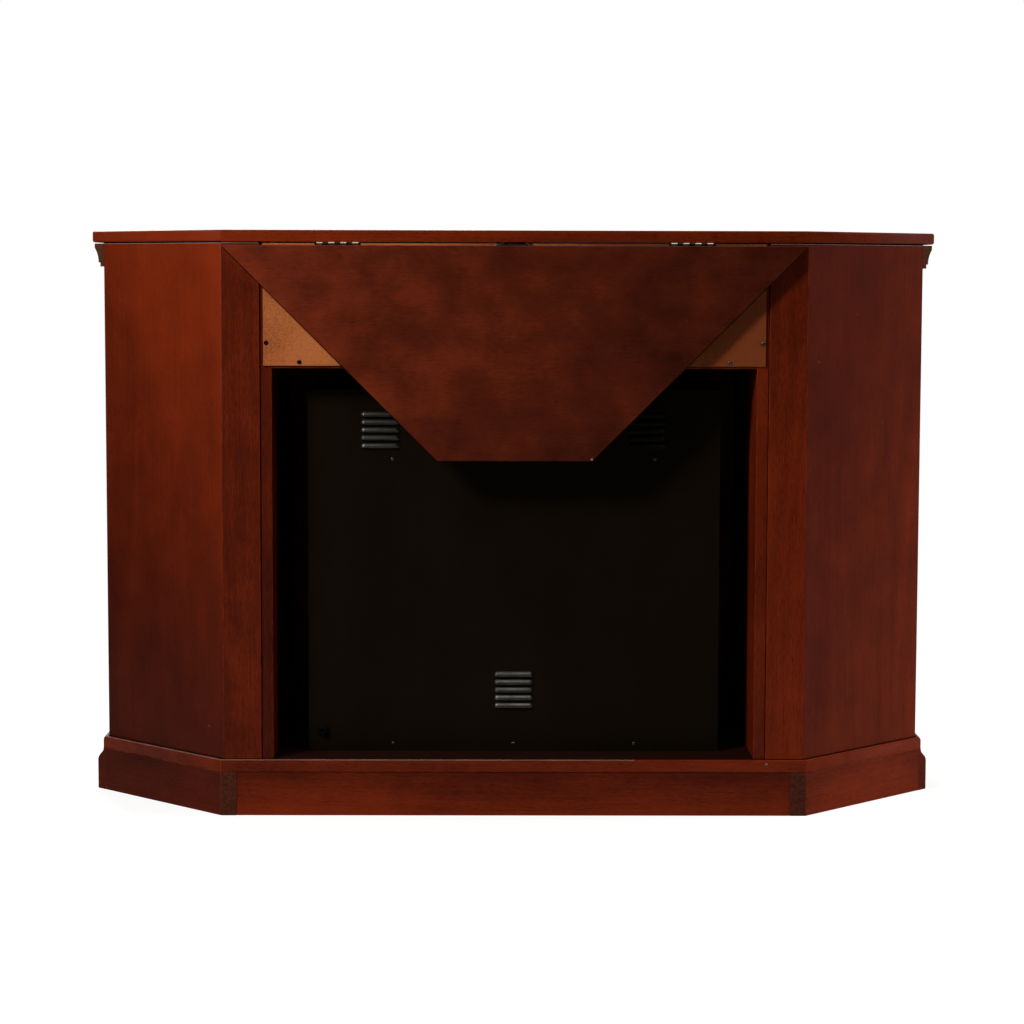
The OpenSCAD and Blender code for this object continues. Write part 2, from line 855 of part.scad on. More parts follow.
// Runs a profile along the right side, mitred in front and cut at 45 degrees behind
module side_run(inner, outer, low, high, cut) {
  intersection() {
    translate([body_half, cut - body_half + 1, low])
      rotate([90, 0, 0])
        linear_extrude(cut - body_half - body_front + outer + 2)
          children();
    board([
      [body_half + inner, body_front - inner], [body_half + outer, body_front - outer],
      [body_half + outer, cut - body_half - outer],
      [body_half + inner, cut - body_half - inner]
    ], low - 1, high + 1);
  }
}

module base_moulding_front() {
  color("#6b2414") place()
    front_run(moulding_in, side_overhang, 0, plinth_h) base_profile();
}

module base_moulding_sides() {
  color("#6b2414") place()
    for (s = [-1, 1]) side(s)
      side_run(moulding_in, side_overhang, 0, plinth_h, cham_base) base_profile();
}

module crown_front() {
  color("#6b2414") place()
    front_run(0, crown_proj, crown_z, seam_z) crown_profile();
}

module crown_sides() {
  color("#6b2414") place()
    for (s = [-1, 1]) side(s)
      side_run(0, crown_proj, crown_z, seam_z, cham_face) crown_profile();
}

// ---------------------------------------------------------------- face frame

module face_stiles() {
  color("#6b2414") place()
    for (s = [-1, 1]) side(s) {
      box([outer_edge, body_front, base_h], [body_half, frame_back, top_under]);
      box([bay_edge, body_front, base_h], [inner_edge, frame_back, rail_low]);
    }
}

module face_rails() {
  color("#6b2414") place() {
    box([-outer_edge, body_front, rail_low], [outer_edge, frame_back, top_under]);
    box([-bay_edge, body_front, divider_z - divider_rail_h], [bay_edge, frame_back, divider_z]);
  }
}

// Cross-section of the trim, x from the firebox outwards, y from the front back
module trim_profile() {
  difference() {
    square([trim_w, trim_t]);
    circle(trim_cove);
  }
}

module firebox_trim() {
  head = divider_z - divider_rail_h;
  color("#5c1e12") place() {
    for (s = [-1, 1]) side(s)
      difference() {
        translate([trim_in, frame_back - trim_t, base_h])
          linear_extrude(head - base_h) trim_profile();
        translate([0, frame_back + 1, 0]) rotate([90, 0, 0])
          linear_extrude(trim_t + 2)
            polygon([
              [trim_in - 1, head - trim_w - 1], [bay_edge + 1, head + 1], [trim_in - 1, head + 1]
            ]);
      }
    difference() {
      translate([-bay_edge, frame_back - trim_t, head - trim_w])
        rotate([90, 0, 90]) linear_extrude(2 * bay_edge)
          difference() {
            square([trim_t, trim_w]);
            circle(trim_cove);
          }
      for (s = [-1, 1]) side(s)
        translate([0, frame_back + 1, 0]) rotate([90, 0, 0])
          linear_extrude(trim_t + 2)
            polygon([
              [trim_in, head - trim_w], [bay_edge + 1, head + 1],
              [bay_edge + 1, head - trim_w - 1], [trim_in - 1, head - trim_w - 1]
            ]);
    }
  }
}

// ---------------------------------------------------------------- side cabinets

module cabinet_shelves() {
  g = shelf_gap;
  color("#6b2414") place()
    for (s = [-1, 1]) side(s)
      board([
        [part_out + g, frame_back + g], [side_in - g, frame_back + g],
        [side_in - g, cham_in - side_in - g], [cham_in - stile_front - 3 * g, stile_front - g],
        [part_out + g, stile_front - g]
      ], shelf_z, shelf_z + shelf_t);
}

module shelf_pins() {
  z = shelf_z - shelf_pin_r;
  color("silver") place()
    for (s = [-1, 1]) side(s) {
      for (y = [shelf_pin_front, shelf_pin_rear])
        rod_x(side_in - shelf_pin_out, side_in + pin_hole_d - 0.5, y, z, shelf_pin_r);
      for (y = [shelf_pin_front, shelf_pin_back])
        rod_x(part_out - pin_hole_d + 0.5, part_out + shelf_pin_out, y, z, shelf_pin_r);
    }
}

// ---------------------------------------------------------------- drop leaf

function leaf_plan() = [
  [-leaf_long_half, leaf_high], [leaf_long_half, leaf_high],
  [leaf_short_half, leaf_low], [-leaf_short_half, leaf_low]
];

module drop_leaf() {
  p = leaf_plan();
  color("#7a2a18") place()
    difference() {
      translate([0, leaf_gap + leaf_t, 0]) rotate([90, 0, 0])
        linear_extrude(leaf_t) round_poly(p, [leaf_tip_r, leaf_tip_r, leaf_corner_r, leaf_corner_r]);
      for (i = [0:3])
        translate([0, leaf_gap + leaf_t, 0]) rotate([90, 0, 0])
          ease_both(p[(i + 1) % 4], p[i], 0, leaf_t, leaf_ease);
    }
}

// Turns a barrel drawn along Z into one along X at the leaf's axis
module leaf_barrel(s) {
  translate([s * leaf_hinge_x - leaf_hinge_len / 2, 0, leaf_axis_z])
    rotate([0, 90, 0])
      children();
}

module leaf_hinge_fixed() {
  color("silver") place()
    for (s = [-1, 1])
      leaf_barrel(s)
        mirror([1, 0, 0]) mirror([0, 1, 0])
          pinned_half(leaf_hinge_len, leaf_knuckles, leaf_plate_off, leaf_plate_w);
}

module leaf_hinge_moving() {
  color("silver") place()
    for (s = [-1, 1])
      leaf_barrel(s)
        rotate([0, 0, -90]) mirror([1, 0, 0])
          turning_half(leaf_hinge_len, leaf_knuckles, leaf_plate_off, leaf_plate_w);
}

module support_bar() {
  color("#1c1c1c") place()
    difference() {
      union() {
        box([-bar_w / 2, bar_front, bar_low], [bar_w / 2, bar_rear - bar_w / 4, bar_high]);
        intersection() {
          translate([0, bar_rear - bar_w / 2 - 8, bar_low])
            cylinder(r = bar_w / 2 + 8, h = bar_t, $fn = 96);
          box([-bar_w / 2, bar_rear - bar_w / 4 - 1, bar_low - 1], [bar_w / 2, bar_rear, bar_high + 1]);
        }
      }
      box([-stop_r - bar_clear, slot_front - bar_clear, bar_low - 1],
          [stop_r + bar_clear, slot_rear + bar_clear, bar_high + 1]);
      translate([0, bar_rear - bar_hole_end, bar_low - 1]) cylinder(r = bar_hole_r, h = bar_t + 2);
    }
}

// One strap that carries the bar under the top, with a screw ear on each side
module bar_strap(y) {
  difference() {
    union() {
      box([-strap_half, y - strap_len / 2, strap_low], [strap_half, y + strap_len / 2, top_under]);
      box([-strap_half - strap_ear, y - strap_len / 2, top_under - strap_t],
          [strap_half + strap_ear, y + strap_len / 2, top_under]);
    }
    box([-strap_half + strap_t, y - strap_len / 2 - 1, strap_low + strap_t],
        [strap_half - strap_t, y + strap_len / 2 + 1, top_under + 1]);
    for (s = [-1, 1])
      translate([s * (strap_half + 7), y, top_under - strap_t - 1])
        cylinder(r = 2.2, h = strap_t + 2);
  }
}

module bar_guides() {
  color("silver") place() {
    bar_strap(strap_rear_y);
    bar_strap(strap_front_y);
    translate([0, stop_y, bar_low - bar_clear - 2]) {
      cylinder(r = stop_r, h = top_under - bar_low + bar_clear + 2);
      cylinder(r = stop_r + 3.5, h = 2);
    }
  }
}

// ---------------------------------------------------------------- doors

// Front pieces of the right-hand door are mirrored for the left-hand one
module door_frame(s) {
  groove_y = body_front + (door_t - tongue_t) / 2 - panel_fit;
  groove_w = tongue_t + 2 * panel_fit;
  low_rail = door_low + door_member_w;
  high_rail = door_high - door_member_w;
  color("#6b2414") place() side(s) {
    for (x = [door_in, door_out - door_member_w])
      difference() {
        box([x, body_front, door_low], [x + door_member_w, body_front + door_t, door_high]);
        box([door_in + door_member_w - groove_d, groove_y, low_rail - groove_d],
            [door_out - door_member_w + groove_d, groove_y + groove_w, high_rail + groove_d]);
      }
    for (z = [door_low, high_rail])
      difference() {
        box([door_in + door_member_w, body_front, z],
            [door_out - door_member_w, body_front + door_t, z + door_member_w]);
        box([door_in, groove_y, low_rail - groove_d],
            [door_out, groove_y + groove_w, high_rail + groove_d]);
      }
  }
}

// Raised panel: a tongue in the groove, a bevel, a small step, and a flat field in front
module door_panel(s) {
  lap = groove_d - 1.5;
  x0 = door_in + door_member_w - lap;
  x1 = door_out - door_member_w + lap;
  z0 = door_low + door_member_w - lap;
  z1 = door_high - door_member_w + lap;
  back = body_front + (door_t + tongue_t) / 2;
  front = back - field_t;
  rise = field_t - tongue_t - field_step;
  inset = lap + 1;
  edge = inset + bevel_w;
  color("#732817") place() side(s)
    union() {
      box([x0, back - tongue_t, z0], [x1, back, z1]);
      intersection() {
        box([x0 + inset, back - tongue_t - rise, z0 + inset], [x1 - inset, back, z1 - inset]);
        bevel_prism(x0 + inset, x1 - inset, z0, z1, back - tongue_t, rise);
        translate([0, back - tongue_t, 0]) rotate([90, 0, 90])
          translate([0, 0, x0 - 1]) linear_extrude(x1 - x0 + 2)
            polygon([
              [1, z0 + inset], [0, z0 + inset], [-rise, z0 + edge],
              [-rise, z1 - edge], [0, z1 - inset], [1, z1 - inset]
            ]);
      }
      box([x0 + edge, front, z0 + edge], [x1 - edge, back, z1 - edge]);
    }
}

// Upright prism whose front is bevelled along both long edges
module bevel_prism(x0, x1, z0, z1, y, rise) {
  translate([0, 0, z0]) linear_extrude(z1 - z0)
    polygon([
      [x0, y + 1], [x0, y], [x0 + bevel_w, y - rise],
      [x1 - bevel_w, y - rise], [x1, y], [x1, y + 1]
    ]);
}

// Turned knob: a foot, a waist and a domed head
module door_knob(s) {
  dome_r = (knob_r * knob_r + 36) / 12;
  color("#3a2c22") place() side(s)
    translate([knob_x, body_front, knob_z]) rotate([90, 0, 0])
      rotate_extrude($fn = 64)
        union() {
          square([9, 2.5]);
          square([5, knob_proj - 8]);
          difference() {
            square([9, 8]);
            translate([11, 8]) circle(6);
          }
          intersection() {
            translate([0, knob_proj - dome_r]) circle(dome_r, $fn = 96);
            translate([0, knob_proj - 10]) square([knob_r, 10]);
          }
        }
}

function door_hinge_z() = [
  door_low + door_hinge_inset, door_high - door_hinge_inset - door_hinge_len
];

module door_hinge_fixed() {
  color("#8c7a50") place()
    for (s = [-1, 1]) side(s)
      for (z = door_hinge_z())
        translate([door_axis_x, door_axis_y, z])
          pinned_half(door_hinge_len, door_knuckles, door_plate_off, door_plate_w);
}

module catch_x(s) {
  side(s) translate([door_in + catch_half, 0, 0]) children();
}

// Moving hinge leaves of one door, and the plate that its catch holds
module door_metal(s) {
  color("#8c7a50") place() {
    side(s)
      for (z = door_hinge_z())
        translate([door_axis_x, door_axis_y, z])
          mirror([1, 0, 0])
            turning_half(door_hinge_len, door_knuckles, door_plate_off, door_plate_w);
    catch_x(s)
      box([4 - catch_half, body_front + door_t, door_high - 30],
          [catch_half - 4, body_front + door_t + 1, door_high - 14]);
  }
}

// Catch body under the top rail, with two pole pieces towards the door
module door_catches() {
  y = body_front + door_t + 1;
  color("#d8d2c4") place()
    for (s = [-1, 1]) catch_x(s) {
      box([-catch_half, y + 3, rail_low + 2 - catch_h], [catch_half, y + catch_d, rail_low + 2]);
      for (z = [door_high - 28, door_high - 19])
        box([2 - catch_half, y + 0.3, z], [catch_half - 2, y + 3, z + 3]);
      box([-catch_half, frame_back, rail_low + 2], [catch_half, y + catch_d, rail_low + 14]);
    }
}

// ---------------------------------------------------------------- firebox

module firebox_shell() {
  color("#1e1e1e") place()
    difference() {
      box([-box_half, shell_front, box_low], [box_half, box_rear, box_high]);
      box([-inner_half, shell_front - 1, inner_low], [inner_half, box_rear - sheet_t, inner_high]);
      box([-box_half + flange_w, box_rear - sheet_t - 1, box_low + flange_w],
          [box_half - flange_w, box_rear + 1, box_high - flange_w]);
    }
}

// Rod with round ends along X
module capsule(r, length) {
  h = length - 2 * louvre_r;
  union() {
    translate([-h / 2, 0, 0]) rotate([0, 90, 0]) cylinder(r = r, h = h, $fn = 32);
    translate([-h / 2, 0, 0]) sphere(r, $fn = 32);
    translate([h / 2, 0, 0]) sphere(r, $fn = 32);
  }
}

// One pressed louvre: a hood that stands out of the sheet, open below
module louvre_hood() {
  intersection() {
    difference() {
      translate([0, -louvre_sink, 0]) capsule(louvre_r, louvre_len);
      translate([0, -louvre_sink, 0]) capsule(louvre_r - sheet_t, louvre_len);
    }
    box([-louvre_len, -sheet_t / 2, -louvre_lip], [louvre_len, louvre_r, louvre_r]);
  }
}

module louvre_cut() {
  intersection() {
    translate([0, -louvre_sink, 0]) capsule(louvre_r - sheet_t, louvre_len);
    box([-louvre_len, -louvre_r, -louvre_lip], [louvre_len, louvre_r, louvre_r]);
  }
}

module at_louvres() {
  for (i = [0:louvre_n - 1]) {
    translate([0, box_rear, louvre_low_z + i * louvre_pitch]) children();
    for (s = [-1, 1])
      translate([s * louvre_side_x, box_rear, louvre_high_z + i * louvre_pitch]) children();
  }
}

module firebox_back() {
  color("#161616") place()
    union() {
      difference() {
        box([-box_half + flange_w, box_rear - sheet_t, box_low + flange_w],
            [box_half - flange_w, box_rear, box_high - flange_w]);
        at_louvres() louvre_cut();
      }
      at_louvres() louvre_hood();
    }
}

gland_x = box_half - gland_side;
gland_z = box_low + gland_rise;

// Strain relief where the supply cord leaves the firebox
module cord_gland() {
  color("#0e0e0e") place()
    difference() {
      union() {
        rod_y(gland_x, gland_z, box_rear, box_rear + 3, gland_flange_r);
        rod_y(gland_x, gland_z, box_rear, box_rear + gland_len, gland_neck_r);
      }
      rod_y(gland_x, gland_z, box_rear + 2, box_rear + gland_len + 1, gland_bore_r);
    }
}

// Round heads of the screws seen from behind, each on the face that it holds
module screw_head(x, z, y, r) {
  translate([x, y, z]) rotate([-90, 0, 0])
    intersection() {
      translate([0, 0, -r]) sphere(r * 1.55);
      cylinder(r = r, h = r);
    }
}

module rear_screws() {
  color("silver") place() {
    for (s = [-1, 1]) {
      side_x = s * (hard_half - hard_screw_side);
      screw_head(side_x, hard_low + hard_screw_low, body_back, hard_screw_r);
      screw_head(side_x, hard_high - hard_screw_high, body_back, hard_screw_r);
      for (x = [hard_half - hard_screw_end, hard_screw_mid])
        screw_head(s * x, hard_low + hard_screw_rise, body_back, hard_screw_r);
    }
    for (x = [-box_screw_x, 0, box_screw_x])
      screw_head(x, box_low + box_screw_low, box_rear, box_screw_r);
    for (x = [-box_screw_left, box_screw_x])
      screw_head(x, box_low + box_screw_high, box_rear, box_screw_r);
  }
}

module firebox_bezel() {
  color("#151515") place()
    difference() {
      box([-box_half, bezel_front, box_low], [box_half, shell_front, box_high]);
      box([-window_half, bezel_front - 1, box_low + window_low],
          [window_half, shell_front + 1, box_low + window_high]);
      box([-outlet_half, bezel_front - 1, outlet_low],
          [outlet_half, shell_front + 1, outlet_low + outlet_h]);
      for (s = [-1, 1])
        rod_y(s * dial_x, control_z, bezel_front - 1, shell_front + 1, dial_shaft_r + 0.5);
      box([-rocker_w / 2 - 1.5, bezel_front - 1, control_z - rocker_h / 2 - 2],
          [rocker_w / 2 + 1.5, shell_front + 1, control_z + rocker_h / 2 + 2]);
    }
}

module firebox_glass() {
  color("#b8c4c8", 0.35) place()
    box([-window_half - glass_lap, shell_front, box_low + window_low - glass_lap],
        [window_half + glass_lap, glass_back, box_low + window_high + glass_lap]);
}

// One log from p, with its length, radii, heading, pitch and a slanted cut at its end
module log_piece(p, length, r1, r2, heading, pitch) {
  translate(p) rotate([0, 0, heading]) rotate([0, 90 - pitch, 0])
    difference() {
      cylinder(r1 = r1, r2 = r2, h = length, $fn = 32);
      translate([0, 0, length - 8]) rotate([0, 22, 0]) translate([-60, -60, 6]) cube(120);
      translate([0, 0, 2]) rotate([0, -16, 0]) translate([-60, -60, -126]) cube(120);
    }
}

bed_low = inner_low + bed_rise;
bed_high = bed_low + bed_t;
bed_front = glass_back + 6;
bed_back = screen_y - 4;
bed_half = window_half + 20;
bed_leg = 4;
log_y = (bed_front + bed_back) / 2;
log_back = 14;

// Moulded log set that lies on the ember bed
module log_set() {
  color("#5a4636") place()
    intersection() {
      translate([0, log_y + log_back, bed_high]) scale(log_len / 370) {
        log_piece([-190, 24, 22], 370, 25, 21, 1, 1);
        log_piece([-205, -40, 16], 220, 20, 17, 9, 3);
        log_piece([24, -8, 17], 190, 20, 16, -10, 4);
        log_piece([-120, -34, 42], 180, 17, 13, 30, 12);
        log_piece([10, -12, 42], 170, 16, 12, 14, 6);
        log_piece([-40, -4, 40], 90, 12, 8, -24, 32);
      }
      box([-box_half, bed_front, bed_high], [box_half, bed_back - 2, heater_low]);
    }
}

// Glowing bed: a tray on two end legs, with lumps of coal placed by a fixed rule
module ember_bed() {
  color("#c4531a") place()
    union() {
      intersection() {
        union() {
          box([-bed_half, bed_front, bed_low], [bed_half, bed_back, bed_high]);
          for (i = [0:lump_n - 1])
            translate([(i / (lump_n - 1) - 0.5) * (window_w - 1.3 * lump_r),
                       bed_front + lump_r * (1.1 + 0.36 * sin(i * 137)), bed_high - 0.64 * lump_r])
              sphere(lump_r * (1 + 0.27 * sin(i * 71)), $fn = 24);
        }
        box([-bed_half, bed_front, bed_low], [bed_half, bed_back, bed_high + lump_r]);
      }
      for (x = [-bed_half, bed_half - bed_leg])
        box([x, bed_front, inner_low], [x + bed_leg, bed_back, bed_low + 1]);
    }
}

module flame_screen() {
  color("#e08a3c", 0.5) place()
    box([-inner_half, screen_y, inner_low], [inner_half, screen_y + 3, heater_low - 6]);
}

// Shaft with reflecting flags that turns behind the flame screen
module flame_rotor() {
  pitch = rotor_len / flag_n;
  color("#d0d0d0") place()
    union() {
      rod_x(-rotor_len / 2 - bearing_t + 2, rotor_len / 2 + bearing_t - 2, rotor_y, rotor_z, rotor_shaft_r);
      for (i = [0:flag_n - 1])
        translate([-rotor_len / 2 + (i + 0.5) * pitch, rotor_y, rotor_z])
          rotate([i * 67, 0, 0])
            translate([-pitch * 0.35, -0.4, -rotor_r])
              cube([pitch * 0.7, 0.8, 2 * rotor_r]);
    }
}

// Motor on the left and bearing on the right, both standing on the firebox floor
module rotor_bearings() {
  bore = rotor_shaft_r + shaft_clear;
  x = rotor_len / 2;
  color("#303030") place()
    for (s = [-1, 1]) side(s)
      difference() {
        union() {
          box([x, rotor_y - bearing_r, inner_low], [x + bearing_t, rotor_y + bearing_r, rotor_z]);
          rod_x(x, x + bearing_t, rotor_y, rotor_z, bearing_r);
          rod_x(x + bearing_t, x + bearing_t + (s < 0 ? motor_len : bearing_t * 0.4),
                rotor_y, rotor_z, s < 0 ? motor_r : bearing_r / 2);
        }
        rod_x(x - 1, x + bearing_t - 0.5, rotor_y, rotor_z, bore);
      }
}

// Lamps under the ember bed, on a folded steel strip
module lamp_bar() {
  color("#e8e4d0") place()
    union() {
      box([-window_half, log_y - lamp_strip_half, inner_low],
          [window_half, log_y + lamp_strip_half, inner_low + sheet_t]);
      box([-window_half, log_y - lamp_strip_half, inner_low],
          [window_half, log_y - lamp_strip_half + sheet_t, inner_low + lamp_fold_h]);
      for (i = [0:lamp_n - 1])
        translate([(i / (lamp_n - 1) - 0.5) * (window_w - 2 * lamp_end), log_y, inner_low])
          union() {
            cylinder(r = lamp_r, h = 2 * lamp_r, $fn = 24);
            translate([0, 0, 2 * lamp_r]) sphere(lamp_r, $fn = 24);
          }
    }
}

// Duct over the window: closed above, below and at the ends, open in front and behind
module heater_case() {
  color("#8a8c8e") place()
    difference() {
      box([-heater_w / 2, heater_front, heater_low], [heater_w / 2, heater_rear, heater_high]);
      box([-heater_w / 2 + sheet_t * 2, heater_front - 1, heater_low + sheet_t],
          [heater_w / 2 - sheet_t * 2, heater_rear + 1, heater_high - sheet_t]);
      rod_x(-heater_w, heater_w, wheel_y, wheel_z, rotor_shaft_r + shaft_clear);
    }
}

// Ceramic heating block with cooling fins
module heating_element() {
  fins = 24;
  half = heater_w / 2 - sheet_t * 2;
  color("#c8c2b4") place()
    union() {
      for (z = [outlet_low + 2, outlet_low + outlet_h / 2 - 2, outlet_low + outlet_h - 6])
        box([-half, heater_front + 6, z], [half, heater_front + 18, z + 4]);
      for (i = [0:fins - 1])
        translate([-half + 4 + i * (2 * half - 8) / (fins - 1), heater_front + 6, outlet_low + 2])
          translate([-0.6, 0, 0]) cube([1.2, 12, outlet_h - 4]);
    }
}

// Cross-flow wheel: end discs, a middle disc and a ring of blades
module blower_wheel() {
  color("#b4b6b8") place()
    translate([0, wheel_y, wheel_z]) rotate([0, 90, 0])
      union() {
        translate([0, 0, -heater_w / 2 - 3]) cylinder(r = rotor_shaft_r, h = heater_w + 6);
        for (x = [-wheel_len / 2, -0.75, wheel_len / 2 - 1.5])
          translate([0, 0, x]) cylinder(r = wheel_r, h = 1.5);
        for (i = [0:blade_n - 1])
          rotate([0, 0, i * 360 / blade_n])
            translate([wheel_r - 3, 0, -wheel_len / 2])
              rotate([0, 0, 28]) translate([-2.5, -0.4, 0]) cube([4.6, 0.8, wheel_len]);
      }
}

// Grille in the hot air outlet: a border and level blades
module outlet_grille() {
  b = 3;
  color("#202020") place()
    union() {
      difference() {
        box([-outlet_half + 0.3, bezel_front - 1.5, outlet_low + 0.3],
            [outlet_half - 0.3, shell_front, outlet_low + outlet_h - 0.3]);
        box([-outlet_half + b, bezel_front - 3, outlet_low + b],
            [outlet_half - b, shell_front + 1, outlet_low + outlet_h - b]);
      }
      for (i = [1:grille_n])
        box([-outlet_half + b - 0.5, bezel_front - 1.5, outlet_low + i * outlet_h / (grille_n + 1) - 0.8],
            [outlet_half - b + 0.5, shell_front, outlet_low + i * outlet_h / (grille_n + 1) + 0.8]);
      for (x = [-outlet_half / 2, 0, outlet_half / 2])
        box([x - 1, bezel_front - 0.5, outlet_low + b - 0.5],
            [x + 1, shell_front, outlet_low + outlet_h - b + 0.5]);
    }
}

// ---------------------------------------------------------------- controls

module control_panel() {
  color("#26282a") place()
    difference() {
      box([-control_w / 2, dial_y, control_z - control_h / 2],
          [control_w / 2, bezel_front, control_z + control_h / 2]);
      for (s = [-1, 1])
        rod_y(s * dial_x, control_z, dial_y - 1, bezel_front + 1, dial_shaft_r + shaft_clear);
      box([-rocker_w / 2 - 0.5, dial_y - 1, control_z - rocker_h / 2 - 1.2],
          [rocker_w / 2 + 0.5, bezel_front + 1, control_z + rocker_h / 2 + 1.2]);
    }
}

// Rocker with a shallow V face, tipped to its off side
module power_rocker() {
  color("#a01c14") place()
    translate([-rocker_w / 2, rocker_pivot_y, control_z]) rotate([-rocker_tilt, 0, 0])
      rotate([90, 0, 90]) linear_extrude(rocker_w)
        difference() {
          polygon([
            [-6, rocker_h / 2], [-4.4, 0], [-6, -rocker_h / 2],
            [-1, -rocker_h / 2], [4, -3], [4, 3], [-1, rocker_h / 2]
          ]);
          circle(1.2, $fn = 24);
        }
}

// Round knob with a grip ridge and a shaft through the panel
module dial(s) {
  place()
    translate([s * dial_x, dial_y - 0.4, control_z]) rotate([90, 0, 0])
      union() {
        difference() {
          cylinder(r = dial_r, h = dial_len);
          for (i = [0:17])
            rotate([0, 0, i * 20]) translate([dial_r + 0.6, 0, 3]) cylinder(r = 1.3, h = dial_len, $fn = 16);
        }
        translate([-1, 2, dial_len - 0.5]) cube([2, dial_r - 4, 1]);
        translate([0, 0, -14]) cylinder(r = dial_shaft_r, h = 15);
      }
}

module heat_knob() {
  color("#2c2c2c") dial(1);
}

module flame_knob() {
  color("#2c2c2c") dial(-1);
}

top_panel();
bottom_panel();
side_panel(-1);  // side_panel_l
side_panel(1);  // side_panel_r
corner_panel(-1);  // corner_panel_l
corner_panel(1);  // corner_panel_r
back_stile(-1);  // back_stile_l
back_stile(1);  // back_stile_r
partition(-1);  // partition_l
partition(1);  // partition_r
divider_shelf();
hardboard_back();
plinth_back_rail();
plinth_cross_rails();
corner_boards();
base_moulding_front();
base_moulding_sides();
crown_front();
crown_sides();
face_stiles();
face_rails();
firebox_trim();
cabinet_shelves();
shelf_pins();
rear_screws();
drop_leaf();
leaf_hinge_fixed();
leaf_hinge_moving();
support_bar();
bar_guides();
door_frame(-1);  // door_frame_l
door_frame(1);  // door_frame_r
door_panel(-1);  // door_panel_l
door_panel(1);  // door_panel_r
door_knob(-1);  // door_knob_l
door_knob(1);  // door_knob_r
door_hinge_fixed();
door_metal(-1);  // door_metal_l
door_metal(1);  // door_metal_r
door_catches();
firebox_shell();
firebox_back();
cord_gland();
firebox_bezel();
firebox_glass();
log_set();
ember_bed();
flame_screen();
flame_rotor();
rotor_bearings();
lamp_bar();
heater_case();
heating_element();
blower_wheel();
outlet_grille();
control_panel();
power_rocker();
heat_knob();
flame_knob();
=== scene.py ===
"""Looks of a corner fireplace: a stained cherry cabinet round an electric firebox, seen from behind."""

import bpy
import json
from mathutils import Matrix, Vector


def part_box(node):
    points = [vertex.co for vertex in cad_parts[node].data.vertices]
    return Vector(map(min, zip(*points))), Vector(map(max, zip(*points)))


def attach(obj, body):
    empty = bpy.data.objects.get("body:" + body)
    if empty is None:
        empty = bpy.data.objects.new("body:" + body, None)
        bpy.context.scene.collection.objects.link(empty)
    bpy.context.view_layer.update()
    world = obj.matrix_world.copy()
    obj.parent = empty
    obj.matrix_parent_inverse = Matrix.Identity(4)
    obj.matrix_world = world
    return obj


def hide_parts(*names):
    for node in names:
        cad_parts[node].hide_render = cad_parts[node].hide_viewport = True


bl_info = {
    "name": "Corner fireplace looks",
    "version": (1, 0, 0),
    "blender": (4, 5, 0),
    "location": "3D View > Sidebar > Fireplace",
    "description": "Dresses the frame of a corner fireplace and sets up its studio",
    "category": "Object",
}

import json
import math
import random

import bmesh
import bpy
from bpy.props import FloatProperty, FloatVectorProperty, IntProperty, PointerProperty
from mathutils import Matrix, Vector, noise

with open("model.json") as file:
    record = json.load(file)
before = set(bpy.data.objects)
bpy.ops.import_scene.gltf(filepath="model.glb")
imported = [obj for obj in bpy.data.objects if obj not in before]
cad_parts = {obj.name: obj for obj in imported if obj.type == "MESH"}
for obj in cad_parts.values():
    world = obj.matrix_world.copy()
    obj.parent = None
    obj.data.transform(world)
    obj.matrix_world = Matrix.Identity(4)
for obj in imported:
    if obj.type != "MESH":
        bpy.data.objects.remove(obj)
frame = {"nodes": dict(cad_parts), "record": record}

MM = 0.001
BODY_OF = {n: body for body, nodes in frame["record"]["behaviour"]["bodies"].items() for n in nodes}
X_AXIS, Y_AXIS, Z_AXIS = Vector((1, 0, 0)), Vector((0, 1, 0)), Vector((0, 0, 1))


def linear(hex_colour):
    """The linear red, green and blue of an sRGB colour written #rrggbb."""
    channels = [int(hex_colour[i:i + 2], 16) / 255 for i in (1, 3, 5)]
    return tuple(c / 12.92 if c <= 0.04045 else ((c + 0.055) / 1.055) ** 2.4 for c in channels)


# ---------------------------------------------------------------------------
# Sizes and colours that a user would change
# ---------------------------------------------------------------------------

class FireplaceSizes(bpy.types.PropertyGroup):
    """Sizes of the small work that the frame leaves to the looks"""
    arris: FloatProperty(
        name="Arris", description="Radius to which the edges of the boards are rubbed",
        default=0.8 * MM, min=0.2 * MM, max=2 * MM, unit="LENGTH", precision=4)
    moulding_arris: FloatProperty(
        name="Moulding arris", description="Radius of the edges of the mouldings",
        default=0.35 * MM, min=0.1 * MM, max=0.8 * MM, unit="LENGTH", precision=4)
    recess: FloatProperty(
        name="Screw recess", description="Width of the cross recess, as a share of the screw's head",
        default=0.58, min=0.4, max=0.8, subtype="FACTOR")
    coals: IntProperty(
        name="Coals", description="Number of small coals strewn over the ember bed",
        default=120, min=20, max=300)


class FireplaceColours(bpy.types.PropertyGroup):
    """Colours of the finishes"""
    stain_dark: FloatVectorProperty(
        name="Stain, dark", description="The stain where the cherry took up most of it",
        default=linear("#2c0902"), subtype="COLOR", min=0, max=1)
    stain_mid: FloatVectorProperty(
        name="Stain, mid", description="The stain on plain cherry",
        default=linear("#541806"), subtype="COLOR", min=0, max=1)
    stain_light: FloatVectorProperty(
        name="Stain, light", description="The stain on the hard, light rings",
        default=linear("#7e290c"), subtype="COLOR", min=0, max=1)
    hardboard: FloatVectorProperty(
        name="Hardboard", description="The smooth face of the hardboard",
        default=linear("#ab6133"), subtype="COLOR", min=0, max=1)
    powder_coat: FloatVectorProperty(
        name="Powder coat", description="The coating of the firebox",
        default=linear("#110a03"), subtype="COLOR", min=0, max=1)


